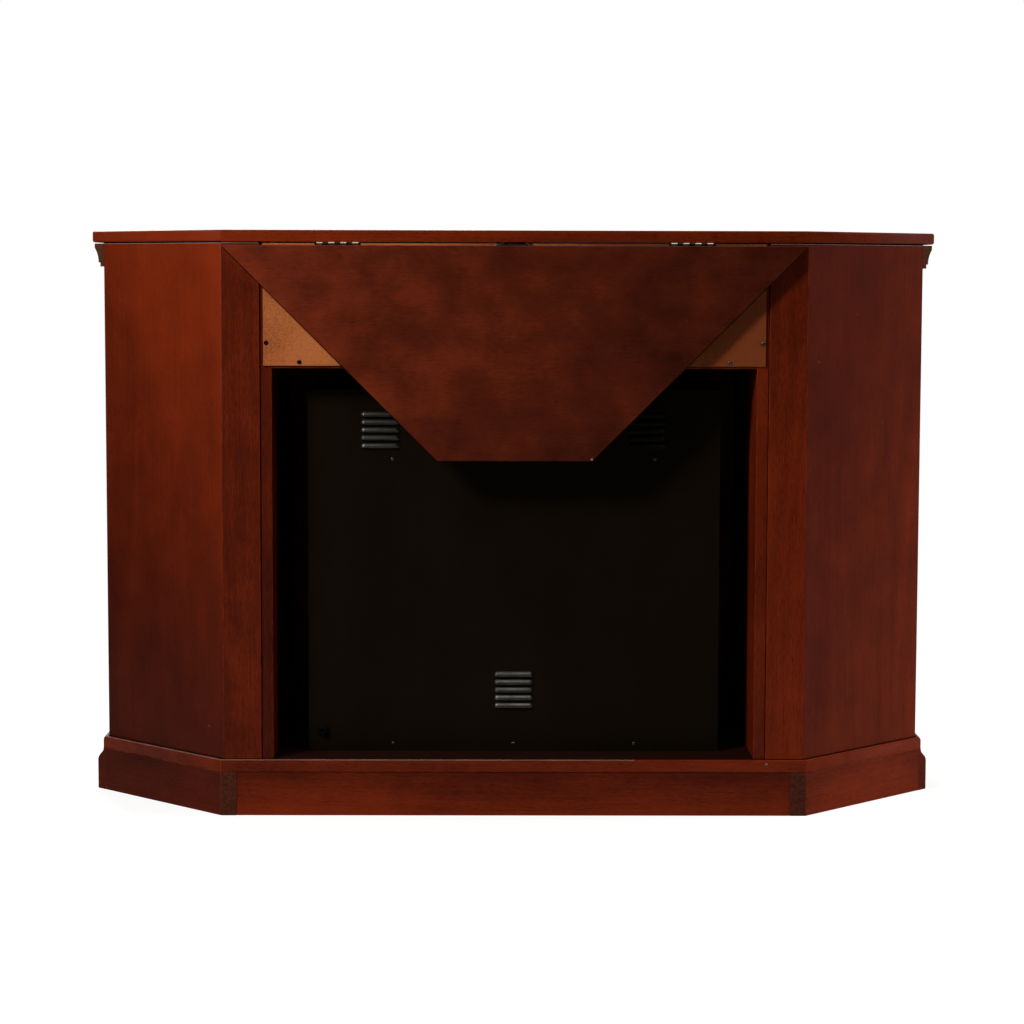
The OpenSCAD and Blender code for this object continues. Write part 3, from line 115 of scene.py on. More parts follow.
class FireplaceStudio(bpy.types.PropertyGroup):
    """Light of the studio"""
    key: FloatProperty(
        name="Key light", description="Power of the softbox on the left of the view",
        default=54, min=0, max=400, unit="POWER")
    card: FloatProperty(
        name="Bright card",
        description="Power of the card beside the key light, seen only in shiny faces",
        default=17, min=0, max=200, unit="POWER")
    fill: FloatProperty(
        name="Fill light", description="Power of the large softbox on the right of the view",
        default=95, min=0, max=400, unit="POWER")
    low: FloatProperty(
        name="Low fill", description="Power of the low softbox on the right of the view",
        default=6, min=0, max=100, unit="POWER")
    front: FloatProperty(
        name="Front light", description="Power of the softbox on the side of the doors",
        default=110, min=0, max=400, unit="POWER")
    ambient: FloatProperty(
        name="Ambient", description="Strength of the light from all round",
        default=0.06, min=0, max=1, subtype="FACTOR")
    floor: FloatVectorProperty(
        name="Floor", description="Colour of the floor",
        default=linear("#b8b7b5"), subtype="COLOR", min=0, max=1)


# ---------------------------------------------------------------------------
# Making materials
# ---------------------------------------------------------------------------

def add(tree, kind, inputs=None, stops=None, out=0, **settings):
    """Adds a shader node with its settings, inputs and, for a ramp, stops, and gives one output."""
    made = tree.nodes.new("ShaderNode" + kind)
    for name, value in settings.items():
        setattr(made, name, value)
    if stops:
        ends = made.color_ramp.elements
        ends[0].position = stops[0][0]
        ends[1].position = stops[-1][0]
        ends[0].color = (*stops[0][1], 1)
        ends[1].color = (*stops[-1][1], 1)
        for place, colour in stops[1:-1]:
            ends.new(place).color = (*colour, 1)
    for key, value in (inputs or {}).items():
        if isinstance(value, bpy.types.NodeSocket):
            tree.links.new(value, made.inputs[key])
        else:
            made.inputs[key].default_value = value
    return made.outputs[out] if made.outputs else None


def empty_tree(owner):
    """The node tree of a material or world, without its nodes."""
    owner.use_nodes = True
    owner.node_tree.nodes.clear()
    return owner.node_tree


def start_material(name):
    """A new material and its empty node tree."""
    material = bpy.data.materials.new(name)
    return material, empty_tree(material)


def cover(tree, inputs):
    """Ends a material with its surface."""
    add(tree, "OutputMaterial", {"Surface": add(tree, "BsdfPrincipled", inputs)})


def stained_cherry(name, stains, streak=1.0, mottle=1.0, fibre=1.0, cloud=0.25, wear=1.0, marks=()):
    """Cherry, planed, stained red-brown and lacquered satin.

    Gives the eye long fine streaks along the board, a slow figure of arched rings, short dark
    pores, and edges rubbed through to a lighter tone. Streak, mottle, fibre, cloud and wear are
    the strengths of the patterns. Each mark has its x and z, its radius and its colour.
    """
    dark, mid, light = stains
    material, tree = start_material(name)
    grain = add(tree, "Attribute", attribute_name="grain", out="Vector")
    # The tone carries each board's own tone and the painted light and shade graded over it
    tone = add(tree, "Attribute", attribute_name="tone", out="Fac")
    worn = add(tree, "Attribute", attribute_name="worn", out="Fac")
    # The rings are about 25 mm apart and run for about a metre
    ring_place = add(tree, "Mapping", {"Vector": grain, "Scale": (0.9, 7, 7)})
    rings = add(tree, "TexNoise", {"Vector": ring_place, "Scale": 1, "Detail": 2, "Roughness": 0.4})
    turns = add(tree, "Math", {0: rings, 1: 55}, operation="MULTIPLY")
    figure = add(tree, "Math", {0: turns}, operation="SINE")
    # Streaks 2.5 mm wide and 125 mm long, drawn coarser than the real fibres so that they show
    streak_place = add(tree, "Mapping", {"Vector": grain, "Scale": (8, 400, 400)})
    streaks = add(tree, "TexNoise", {"Vector": streak_place, "Scale": 1, "Detail": 3,
                                     "Roughness": 0.6})
    # Fibres 1.2 mm wide and 9 mm long, the lightest of them filled by dark open pores
    fibre_place = add(tree, "Mapping", {"Vector": grain, "Scale": (110, 800, 800)})
    fibres = add(tree, "TexNoise", {"Vector": fibre_place, "Scale": 1, "Detail": 2,
                                    "Roughness": 0.6})
    pores = add(tree, "MapRange", {0: fibres, 1: 0.6, 2: 0.74, 3: 0, 4: 1})
    # Blotches 110 mm across and 250 mm long, where the stain went in unevenly
    blotch_place = add(tree, "Mapping", {"Vector": grain, "Scale": (4, 9, 9)})
    blotches = add(tree, "TexNoise", {"Vector": blotch_place, "Scale": 1, "Detail": 3,
                                      "Roughness": 0.55})
    # Clouds 50 mm across, from the wiping of the stain
    clouds = add(tree, "TexNoise", {"Vector": grain, "Scale": 20, "Detail": 3, "Roughness": 0.5})
    shade = tone
    for pattern, strength in ((figure, 0.03 * streak), (streaks, 0.26 * streak),
                              (blotches, 0.5 * mottle), (clouds, cloud), (fibres, -0.5 * fibre)):
        shade = add(tree, "Math", {0: pattern, 1: strength, 2: shade}, operation="MULTIPLY_ADD")
    # The noises lie round 0.5, and half their strengths are taken off again
    level = 0.5 - 0.13 * streak - 0.25 * mottle - 0.5 * cloud + 0.25 * fibre
    shade = add(tree, "Math", {0: shade, 1: level}, operation="ADD")
    colour = add(tree, "ValToRGB", {0: shade}, stops=[(0.12, dark), (0.5, mid), (0.88, light)])
    pored = add(tree, "Math", {0: pores, 1: 0.4 * fibre}, operation="MULTIPLY")
    colour = add(tree, "Mix", {0: pored, 6: colour, 7: (*dark, 1)}, data_type="RGBA", out=2)
    # Edges rubbed thin, in patches 17 mm long
    place = add(tree, "TexCoord", out="Object")
    rub_noise = add(tree, "TexNoise", {"Vector": place, "Scale": 60, "Detail": 3})
    rubbed = add(tree, "MapRange", {0: rub_noise, 1: 0.42, 2: 0.6, 3: 0.08 * wear, 4: 0.5 * wear})
    rubbed = add(tree, "Math", {0: rubbed, 1: worn}, operation="MULTIPLY")
    bare = tuple(min(1, 1.5 * c) for c in light)
    colour = add(tree, "Mix", {0: rubbed, 6: colour, 7: (*bare, 1)}, data_type="RGBA", out=2)
    flat_place = add(tree, "Mapping", {"Vector": place, "Scale": (1, 0, 1)})
    for x, z, radius, mark_colour in marks:
        far = add(tree, "VectorMath", {0: flat_place, 1: (x * MM, 0, z * MM)},
                  operation="DISTANCE", out="Value")
        near = add(tree, "MapRange", {0: far, 1: radius * MM, 2: radius * MM * 0.5, 3: 0, 4: 0.9})
        colour = add(tree, "Mix", {0: near, 6: colour, 7: (*linear(mark_colour), 1)},
                     data_type="RGBA", out=2)
    gloss = add(tree, "MapRange", {0: streaks, 1: 0.3, 2: 0.7, 3: 0.48, 4: 0.36})
    relief = add(tree, "Math", {0: streaks, 1: pores}, operation="SUBTRACT")
    bump = add(tree, "Bump", {"Height": relief, "Strength": 0.25, "Distance": 0.15 * MM})
    cover(tree, {"Base Color": colour, "Roughness": gloss, "Normal": bump, "IOR": 1.5,
                 "Specular IOR Level": 0.12})
    return material


def bare_or_painted_board(name, colour):
    """Board left without lacquer, sawn or sanded; also flat colours of painted light and shade on edges,
    joints and the bay floor.

    Gives the eye a dull face with short soft streaks, where the finish stops.
    """
    material, tree = start_material(name)
    grain = add(tree, "Attribute", attribute_name="grain", out="Vector")
    # Saw and sanding marks 3 mm wide and 30 mm long
    place = add(tree, "Mapping", {"Vector": grain, "Scale": (30, 300, 300)})
    marks = add(tree, "TexNoise", {"Vector": place, "Scale": 1, "Detail": 4, "Roughness": 0.6})
    low = tuple(0.6 * c for c in linear(colour))
    high = tuple(1.3 * c for c in linear(colour))
    tinted = add(tree, "ValToRGB", {0: marks},
                 stops=[(0.3, low), (0.5, linear(colour)), (0.7, high)])
    rough = add(tree, "MapRange", {0: marks, 1: 0.3, 2: 0.7, 3: 0.85, 4: 0.7})
    cover(tree, {"Base Color": tinted, "Roughness": rough, "Specular IOR Level": 0.08})
    return material


def pressed_hardboard(name, colour):
    """Hardboard, wood fibre pressed smooth and left bare.

    Gives the eye a flat warm brown with short flecks of fibre and cloudy patches, and painted shade
    toward -x.
    """
    material, tree = start_material(name)
    place = add(tree, "TexCoord", out="Object")
    # Flecks 2 to 4 mm long, lying every way
    flecks = add(tree, "TexNoise", {"Vector": place, "Scale": 420, "Detail": 4, "Roughness": 0.7,
                                    "Distortion": 1.2})
    clouds = add(tree, "TexNoise", {"Vector": place, "Scale": 9, "Detail": 3})
    # Painted shade: darker toward -x, standing in for the leaf's shadow on that end
    across = add(tree, "SeparateXYZ", {0: place}, out="X")
    leaf_shadow_side = add(tree, "MapRange", {0: across, 1: -0.3, 2: 0.1, 3: -0.95, 4: -0.6})
    shade = add(tree, "Math", {0: flecks, 1: 1.3, 2: leaf_shadow_side}, operation="MULTIPLY_ADD")
    shade = add(tree, "Math", {0: clouds, 1: 0.9, 2: shade}, operation="MULTIPLY_ADD")
    dark = tuple(share * c for share, c in zip((0.45, 0.32, 0.26), colour))
    light = tuple(1.35 * c for c in colour)
    stops = [(0.2, dark), (0.5, colour), (0.8, light)]
    tinted = add(tree, "ValToRGB", {0: shade}, stops=stops)
    rough = add(tree, "MapRange", {0: flecks, 1: 0.3, 2: 0.7, 3: 0.5, 4: 0.66})
    bump = add(tree, "Bump", {"Height": flecks, "Strength": 0.3, "Distance": 0.1 * MM})
    cover(tree, {"Base Color": tinted, "Roughness": rough, "Normal": bump,
                 "Specular IOR Level": 0.2})
    return material


def powder_coated_steel(name, colour, rough=0.46, shine=0.09):
    """Sheet steel, pressed and powder coated.

    Gives the eye a near-black face with fine orange peel, dust in soft patches and a dull sheen.
    """
    material, tree = start_material(name)
    place = add(tree, "TexCoord", out="Object")
    # Orange peel 1.5 mm across
    peel = add(tree, "TexNoise", {"Vector": place, "Scale": 700, "Detail": 2})
    dust_place = add(tree, "Mapping", {"Vector": place, "Scale": (1, 1, 0.5)})
    dust = add(tree, "TexNoise", {"Vector": dust_place, "Scale": 7, "Detail": 5,
                                  "Roughness": 0.65})
    dusted = add(tree, "MapRange", {0: dust, 1: 0.4, 2: 0.75, 3: 0, 4: 0.25})
    grey = tuple(2.4 * c + 0.001 for c in colour)
    coat = add(tree, "Mix", {0: dusted, 6: (*colour, 1), 7: (*grey, 1)}, data_type="RGBA", out=2)
    sheen = add(tree, "MapRange", {0: dust, 1: 0.3, 2: 0.7, 3: rough - 0.06, 4: rough + 0.06})
    bump = add(tree, "Bump", {"Height": peel, "Strength": 0.2, "Distance": 0.08 * MM})
    cover(tree, {"Base Color": coat, "Roughness": sheen, "Normal": bump, "IOR": 1.5,
                 "Specular IOR Level": shine})
    return material


def worked_metal(name, colour, dull, rough, patch):
    """Metal, drawn or rolled, plated or left bare.

    Gives the eye a sheen broken by a fine grain and by duller patches of handling, whose number
    to the metre is given.
    """
    material, tree = start_material(name)
    place = add(tree, "TexCoord", out="Object")
    # Grain 0.8 mm across
    brushed = add(tree, "TexNoise", {"Vector": place, "Scale": 1250, "Detail": 2})
    handled = add(tree, "TexNoise", {"Vector": place, "Scale": patch, "Detail": 4,
                                     "Roughness": 0.6})
    patches = add(tree, "MapRange", {0: handled, 1: 0.38, 2: 0.68, 3: 0, 4: 1})
    tinted = add(tree, "Mix", {0: patches, 6: (*linear(colour), 1), 7: (*linear(dull), 1)},
                 data_type="RGBA", out=2)
    sheen = add(tree, "Math", {0: patches, 1: 0.16, 2: rough}, operation="MULTIPLY_ADD")
    bump = add(tree, "Bump", {"Height": brushed, "Strength": 0.15, "Distance": 0.05 * MM})
    cover(tree, {"Base Color": tinted, "Metallic": 1.0, "Roughness": sheen, "Normal": bump})
    return material


def galvanised_sheet(name):
    """Steel sheet, hot-dip galvanised.

    Gives the eye grey spangle in flat grains 8 mm across, each with its own brightness.
    """
    material, tree = start_material(name)
    place = add(tree, "TexCoord", out="Object")
    grains = add(tree, "TexVoronoi", {"Vector": place, "Scale": 125}, out="Color")
    level = add(tree, "SeparateColor", {0: grains})
    tinted = add(tree, "ValToRGB", {0: level},
                 stops=[(0.0, linear("#8b9093")), (0.5, linear("#a5abad")), (1.0, linear("#bfc5c7"))])
    rough = add(tree, "MapRange", {0: level, 1: 0, 2: 1, 3: 0.32, 4: 0.5})
    cover(tree, {"Base Color": tinted, "Metallic": 1.0, "Roughness": rough})
    return material


def moulded_plastic(name, colour, rough=0.42, shine=0.5):
    """ABS, injection moulded in a spark-eroded tool.

    Gives the eye an even colour with a fine matt grain and faint shiny handling.
    """
    material, tree = start_material(name)
    place = add(tree, "TexCoord", out="Object")
    # Tool grain 0.5 mm across
    grain = add(tree, "TexNoise", {"Vector": place, "Scale": 2000, "Detail": 1})
    touch = add(tree, "TexNoise", {"Vector": place, "Scale": 45, "Detail": 3})
    low = tuple(0.82 * c for c in linear(colour))
    tinted = add(tree, "Mix", {0: touch, 6: (*low, 1), 7: (*linear(colour), 1)},
                 data_type="RGBA", out=2)
    sheen = add(tree, "MapRange", {0: touch, 1: 0.3, 2: 0.7, 3: rough - 0.08, 4: rough + 0.1})
    bump = add(tree, "Bump", {"Height": grain, "Strength": 0.25, "Distance": 0.05 * MM})
    cover(tree, {"Base Color": tinted, "Roughness": sheen, "Normal": bump, "IOR": 1.52,
                 "Specular IOR Level": shine})
    return material


def float_glass(name):
    """Float glass, toughened, with a light smoke tint.

    Gives the eye a clear dark pane with faint wiping marks.
    """
    material, tree = start_material(name)
    place = add(tree, "TexCoord", out="Object")
    # Marks 17 mm wide and 110 mm long, on a slant
    wiped_place = add(tree, "Mapping", {"Vector": place, "Rotation": (0, 0.6, 0),
                                        "Scale": (6, 1, 40)})
    wiped = add(tree, "TexNoise", {"Vector": wiped_place, "Scale": 1.5, "Detail": 4})
    rough = add(tree, "MapRange", {0: wiped, 1: 0.45, 2: 0.75, 3: 0.01, 4: 0.06})
    cover(tree, {"Base Color": (*linear("#c9cfce"), 1), "Roughness": rough,
                 "Transmission Weight": 1.0, "IOR": 1.5, "Specular IOR Level": 0.35})
    return material


def flame_sheet(name):
    """Acrylic sheet, smoked and sprayed with a frosted flame screen.

    Gives the eye a dark half-clear sheet with a pale frosted band rising in tongues.
    """
    material, tree = start_material(name)
    place = add(tree, "TexCoord", out="Object")
    # Tongues 45 mm wide and 200 mm high
    tongue_place = add(tree, "Mapping", {"Vector": place, "Scale": (22, 1, 5)})
    tongues = add(tree, "TexNoise", {"Vector": tongue_place, "Scale": 1, "Detail": 3,
                                     "Distortion": 0.6})
    height = add(tree, "SeparateXYZ", {0: place}, out="Z")
    fade = add(tree, "MapRange", {0: height, 1: 0.16, 2: 0.46, 3: 0.35, 4: -0.25})
    frost = add(tree, "Math", {0: tongues, 1: fade}, operation="ADD")
    tinted = add(tree, "ValToRGB", {0: frost},
                 stops=[(0.42, linear("#17120f")), (0.62, linear("#4b2a18")), (0.8, linear("#8f5a2e"))])
    rough = add(tree, "MapRange", {0: frost, 1: 0.4, 2: 0.7, 3: 0.15, 4: 0.5})
    cover(tree, {"Base Color": tinted, "Roughness": rough, "Transmission Weight": 0.25,
                 "IOR": 1.49})
    return material


def cast_bark(name):
    """Resin, cast from real logs and painted by hand.

    Gives the eye furrowed brown-grey bark, with charred black patches and pale cut ends.
    """
    material, tree = start_material(name)
    grain = add(tree, "Attribute", attribute_name="grain", out="Vector")
    cut = add(tree, "Attribute", attribute_name="worn", out="Fac")      # 1 on the cut ends
    # Furrows 6 mm apart and 40 mm long
    furrow_place = add(tree, "Mapping", {"Vector": grain, "Scale": (25, 160, 160)})
    furrows = add(tree, "TexNoise", {"Vector": furrow_place, "Scale": 1, "Detail": 5,
                                     "Roughness": 0.65})
    bark = add(tree, "ValToRGB", {0: furrows},
               stops=[(0.35, linear("#1c130d")), (0.55, linear("#57402c")), (0.72, linear("#8a715a"))])
    wood = add(tree, "ValToRGB", {0: furrows},
               stops=[(0.3, linear("#7d5a35")), (0.7, linear("#c39b68"))])
    colour = add(tree, "Mix", {0: cut, 6: bark, 7: wood}, data_type="RGBA", out=2)
    place = add(tree, "TexCoord", out="Object")
    char_noise = add(tree, "TexNoise", {"Vector": place, "Scale": 18, "Detail": 4})
    char = add(tree, "MapRange", {0: char_noise, 1: 0.5, 2: 0.62, 3: 0, 4: 0.92})
    colour = add(tree, "Mix", {0: char, 6: colour, 7: (*linear("#0d0a08"), 1)},
                 data_type="RGBA", out=2)
    bump = add(tree, "Bump", {"Height": furrows, "Strength": 0.8, "Distance": 1.2 * MM})
    cover(tree, {"Base Color": colour, "Roughness": 0.82, "Normal": bump})
    return material


def cast_embers(name):
    """Resin, cast as coals, clear orange under sprayed black and ash grey.

    Gives the eye dark lumps with orange in their cracks and grey ash on top.
    """
    material, tree = start_material(name)
    place = add(tree, "TexCoord", out="Object")
    # Cracks between patches 14 mm across
    cells = add(tree, "TexVoronoi", {"Vector": place, "Scale": 70}, feature="DISTANCE_TO_EDGE")
    ash = add(tree, "TexNoise", {"Vector": place, "Scale": 60, "Detail": 5, "Roughness": 0.7})
    lump = add(tree, "ValToRGB", {0: ash},
               stops=[(0.4, linear("#0e0b09")), (0.56, linear("#2b241f")), (0.7, linear("#8d8882"))])
    glow = add(tree, "MapRange", {0: cells, 1: 0.1, 2: 0.0, 3: 0, 4: 0.85})
    colour = add(tree, "Mix", {0: glow, 6: lump, 7: (*linear("#b4480f"), 1)},
                 data_type="RGBA", out=2)
    bump = add(tree, "Bump", {"Height": ash, "Strength": 0.7, "Distance": 1 * MM})
    cover(tree, {"Base Color": colour, "Roughness": 0.75, "Normal": bump})
    return material


def painted_marks(name, colour):
    """Enamel, pad printed.

    Gives the eye plain marks with a slightly broken edge.
    """
    material, tree = start_material(name)
    place = add(tree, "TexCoord", out="Object")
    thin = add(tree, "TexNoise", {"Vector": place, "Scale": 900, "Detail": 2})
    low = tuple(0.7 * c for c in linear(colour))
    tinted = add(tree, "Mix", {0: thin, 6: (*low, 1), 7: (*linear(colour), 1)},
                 data_type="RGBA", out=2)
    cover(tree, {"Base Color": tinted, "Roughness": 0.5})
    return material


# ---------------------------------------------------------------------------
# Making pieces
# ---------------------------------------------------------------------------

def merged_copy(node):
    """A copy of a CAD node's mesh, its loose triangles merged and its flat faces made whole."""
    bm = bmesh.new()
    bm.from_mesh(frame["nodes"][node].data)
    bmesh.ops.remove_doubles(bm, verts=bm.verts, dist=0.01 * MM)
    bmesh.ops.dissolve_limit(bm, angle_limit=math.radians(0.5), verts=bm.verts, edges=bm.edges)
    return bm


def cut_off(bm, point, normal):
    """Takes off what lies beyond a plane, and closes the cut."""
    whole = bm.verts[:] + bm.edges[:] + bm.faces[:]
    cut = bmesh.ops.bisect_plane(bm, geom=whole, plane_co=point, plane_no=normal, clear_outer=True)
    rim = [e for e in cut["geom_cut"] if isinstance(e, bmesh.types.BMEdge)]
    bmesh.ops.holes_fill(bm, edges=rim)


def gathered(parts):
    """One bmesh from several, which are freed."""
    whole = bmesh.new()
    for bm in parts:
        mesh = bpy.data.meshes.new("part")
        bm.to_mesh(mesh)
        bm.free()
        whole.from_mesh(mesh)
        bpy.data.meshes.remove(mesh)
    return whole


def in_order(bm):
    """Lists the vertices, edges and faces by their places, since extrusions list them by chance."""
    for items, place in ((bm.verts, lambda v: v.co),
                         (bm.edges, lambda e: e.verts[0].co + e.verts[1].co),
                         (bm.faces, lambda f: f.calc_center_median())):
        ranks = {item: i for i, item in enumerate(sorted(items, key=lambda item: tuple(place(item))))}
        items.sort(key=ranks.get)


def islands(bm):
    """The connected groups of a bmesh's vertices."""
    left = set(bm.verts)
    groups = []
    while left:
        group = [left.pop()]
        for v in group:
            for e in v.link_edges:
                other = e.other_vert(v)
                if other in left:
                    left.discard(other)
                    group.append(other)
        groups.append(group)
    return groups


def box_of(verts):
    """Lowest and highest corner of some vertices."""
    lo = Vector([min(v.co[i] for v in verts) for i in range(3)])
    hi = Vector([max(v.co[i] for v in verts) for i in range(3)])
    return lo, hi


SHARP = math.radians(25)    # Edges turned by more than this are eased
SHORT = 12 * MM             # Edges up to this length are left as they are
CREASE = math.radians(50)   # Edges turned by more than this are shaded as creases


def ease_arrises(bm, radius):
    """Rounds the sharp edges, flags the new faces as worn, and keeps flat faces flat in the light."""
    worn = bm.faces.layers.float.new("worn")
    angles = {e: e.calc_face_angle(0) for e in bm.edges}
    for face in bm.faces:
        face.smooth = any(math.radians(1) < angles[e] < SHARP for e in face.edges)
    arrises = [e for e, angle in angles.items() if angle > SHARP and e.calc_length() > SHORT]
    eased = bmesh.ops.bevel(bm, geom=arrises, offset=radius, offset_type="OFFSET", segments=2,
                            profile=0.5, affect="EDGES", material=-1)
    for face in eased["faces"]:
        face.smooth = True
        face[worn] = 1
    for e in bm.edges:
        e.smooth = e.calc_face_angle(0) < CREASE


# How each board's tone runs over it, its own tone together with painted light and shade for how the
# light falls on it: its level in the middle of the cabinet, at the board's own middle height, and its
# rise for each metre of x and z
TONE_AND_PAINTED_LIGHT = {"corner_panel_r": (0.53, -0.98, 0.64), "corner_panel_l": (-0.28, -0.6, -0.16),
              "drop_leaf": (-0.03, 0.5, 0.2), "top_panel": (0.2, 0.34, 0),
              "back_stile_r": (0.0, 0, 0.02), "back_stile_l": (0.14, 0, -0.4),
              "plinth_back_rail": (0.14, 0.08, -6), "partition_r": (-0.16, 0, 0),
              "partition_l": (0.16, 0, 0), "bottom_panel": (0.17, -0.1, 0),
              "corner_boards": (0.04, -0.3, -2)}


def lay_grain(bm, seed, along=None):
    """Gives each board of a bmesh its own run of grain, along its length, and its own tone with painted
    light and shade.
    """
    grain = bm.verts.layers.float_vector.new("grain")
    tone = bm.verts.layers.float.new("tone")
    chance = random.Random(seed)
    for group in sorted(islands(bm), key=lambda g: tuple(round(c, 4) for c in box_of(g)[0])):
        lo, hi = box_of(group)
        size = hi - lo
        longest = max(range(3), key=lambda i: size[i])
        length = along(lo, hi) if along else (X_AXIS, Y_AXIS, Z_AXIS)[longest]
        thinnest = min(range(3), key=lambda i: size[i])
        side = length.cross((X_AXIS, Y_AXIS, Z_AXIS)[thinnest]).normalized()
        face = length.cross(side)
        start = Vector([chance.uniform(0, 20) for _ in range(3)])
        # Painted light and shade from the table, else a small random tone of the board's own
        level, by_x, by_z = TONE_AND_PAINTED_LIGHT.get(seed, (chance.uniform(-0.03, 0.03), 0, 0))
        middle = (lo.z + hi.z) / 2
        for v in group:
            v[grain] = start + Vector((v.co.dot(length), v.co.dot(side), v.co.dot(face)))
            v[tone] = level + by_x * v.co.x + by_z * (v.co.z - middle)


def place_piece(bm, name, body, slot, materials, *stands_for):
    """Makes a bmesh a piece of the object, which rides on a body and may stand for CAD nodes."""
    in_order(bm)
    mesh = bpy.data.meshes.new(name)
    bm.to_mesh(mesh)
    bm.free()
    for material in materials:
        mesh.materials.append(material)
    piece = bpy.data.objects.new(name, mesh)
    bpy.context.scene.collection.objects.link(piece)
    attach(piece, body)
    if stands_for:
        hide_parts(*stands_for)
    return piece


def place_boards(node, material, arris, along=None, slot="cherry_wood", parts=None, bare=(), test=None):
    """Makes the boards of a CAD node again with eased edges and grain.

    A test gives each face the number of its material: 0, or that of a bare or painted one from 1 on.
    """
    bm = parts or merged_copy(node)
    ease_arrises(bm, arris)
    lay_grain(bm, node, along)
    for face in bm.faces:
        face.material_index = test(face) if test else 0
    return place_piece(bm, node + "_boards", BODY_OF[node], slot, [material, *bare], node)


def finish_node(node, material):
    """Gives a CAD node's own mesh a finish."""
    for slot in frame["nodes"][node].material_slots:
        slot.material = material


def cabinet_stains():
    """The dark, mid and light stain of the cabinet."""
    colours = bpy.context.scene.fireplace_colours
    return tuple(colours.stain_dark), tuple(colours.stain_mid), tuple(colours.stain_light)


def cherry():
    """The cabinet's stained cherry, made on first use."""
    return bpy.data.materials.get("stained_cherry") or stained_cherry("stained_cherry", cabinet_stains())


# ---------------------------------------------------------------------------
# The pieces, group by group
# ---------------------------------------------------------------------------

# Specks and dents in the lacquer: x and z in millimetres, radius and colour
CORNER_MARKS = ((-425, 638, 1.3, "#8a4a2c"), (-485, 704, 1.1, "#8a4a2c"),
                (-530, 548, 1.2, "#8a4a2c"), (430, 123, 1.5, "#8a4a2c"))
LEAF_MARKS = ((-107, 504, 1.9, "#a9785c"), (-113, 503, 1.5, "#9a684e"),
              (-310, 701, 2, "#a8705a"), (-57, 584, 1.5, "#1a0805"))
EDGE_HIGHLIGHT_END = Vector((-0.17, 0, 0))      # Where the painted highlight along the bottom board's back edge ends


class FIREPLACE_OT_carcass(bpy.types.Operator):
    """Makes the top, the bottom, the sides and the uprights again as eased boards"""
    bl_idname = "fireplace.carcass"
    bl_label = "Carcass boards"

    def execute(self, context):
        arris = context.scene.fireplace_sizes.arris
        for node in ("side_panel_l", "side_panel_r", "partition_l", "partition_r",
                     "divider_shelf", "face_stiles", "face_rails", "plinth_back_rail",
                     "plinth_cross_rails"):
            place_boards(node, cherry(), arris)
        top = stained_cherry("stained_cherry_top", cabinet_stains(), streak=1.3, fibre=1.4)
        place_boards("top_panel", top, arris, bare=[bare_or_painted_board("sealed_cherry_underside", "#2a120b")],
                     test=lambda face: 1 if face.normal.z < -0.9 else 0)
        self.place_corners(arris)
        self.place_bottom(arris)
        place_boards("cabinet_shelves", cherry(), arris, lambda lo, hi: X_AXIS)
        place_boards("corner_boards", cherry(), arris,
                     lambda lo, hi: Vector((math.copysign(1, lo.x), -1, 0)).normalized(),
                     bare=[bare_or_painted_board("sawn_end_grain", "#4b2418")],
                     test=lambda face: 1 if face.normal.y > 0.9 else 0)
        return {"FINISHED"}

    def place_corners(self, arris):
        """The corner panels and back stiles, with a pale sawn top edge that is partly a painted
        highlight, and painted shadow in the joint at the foot.
        """
        panel = stained_cherry("stained_cherry_corner", cabinet_stains(), streak=0.7, mottle=0.7,
                               fibre=0.6, marks=CORNER_MARKS)
        # Sawn top edge, made pale grey in part as a painted highlight for the light falling on it through
        # the seam
        sawn_lit_edge = bare_or_painted_board("sawn_cherry_edge", "#7d6a5f")
        # Painted shadow: the joint at the foot is made near black
        joint_shadow = bare_or_painted_board("glued_cherry_joint", "#160603")
        for node, wood in (("corner_panel_l", panel), ("corner_panel_r", panel),
                           ("back_stile_l", cherry()), ("back_stile_r", cherry())):
            lo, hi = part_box(node)
            foot, head = lo.z + arris, hi.z - 1.5 * arris

            def at_end(face):
                """2 at the foot of the board, 1 at its head."""
                height = face.calc_center_median().z
                return 2 if height < foot else 1 if height > head else 0

            place_boards(node, wood, arris, bare=[sawn_lit_edge, joint_shadow], test=at_end)

    def place_bottom(self, arris):
        """The bottom board, its bay floor painted near black as painted shade, and a pale painted
        highlight along most of its back edge.
        """
        bottom = merged_copy("bottom_panel")
        bmesh.ops.bisect_plane(bottom, geom=bottom.verts[:] + bottom.edges[:] + bottom.faces[:],
                               plane_co=EDGE_HIGHLIGHT_END, plane_no=X_AXIS)

        def painted_light_test(face):
            """2 on the floor of the bay, painted shade; 1 on the arris with the painted highlight."""
            middle = face.calc_center_median()
            if face.normal.z > 0.95 and middle.y > 0:
                return 2
            arris_face = face.normal.y > 0.3 and 0.3 < face.normal.z < 0.95
            return 1 if arris_face and middle.x > EDGE_HIGHLIGHT_END.x else 0

        place_boards("bottom_panel", cherry(), arris, parts=bottom,
                     bare=[bare_or_painted_board("rubbed_cherry_edge", "#755b4d"),
                           bare_or_painted_board("sanded_cherry_floor", "#200b05")], test=painted_light_test)


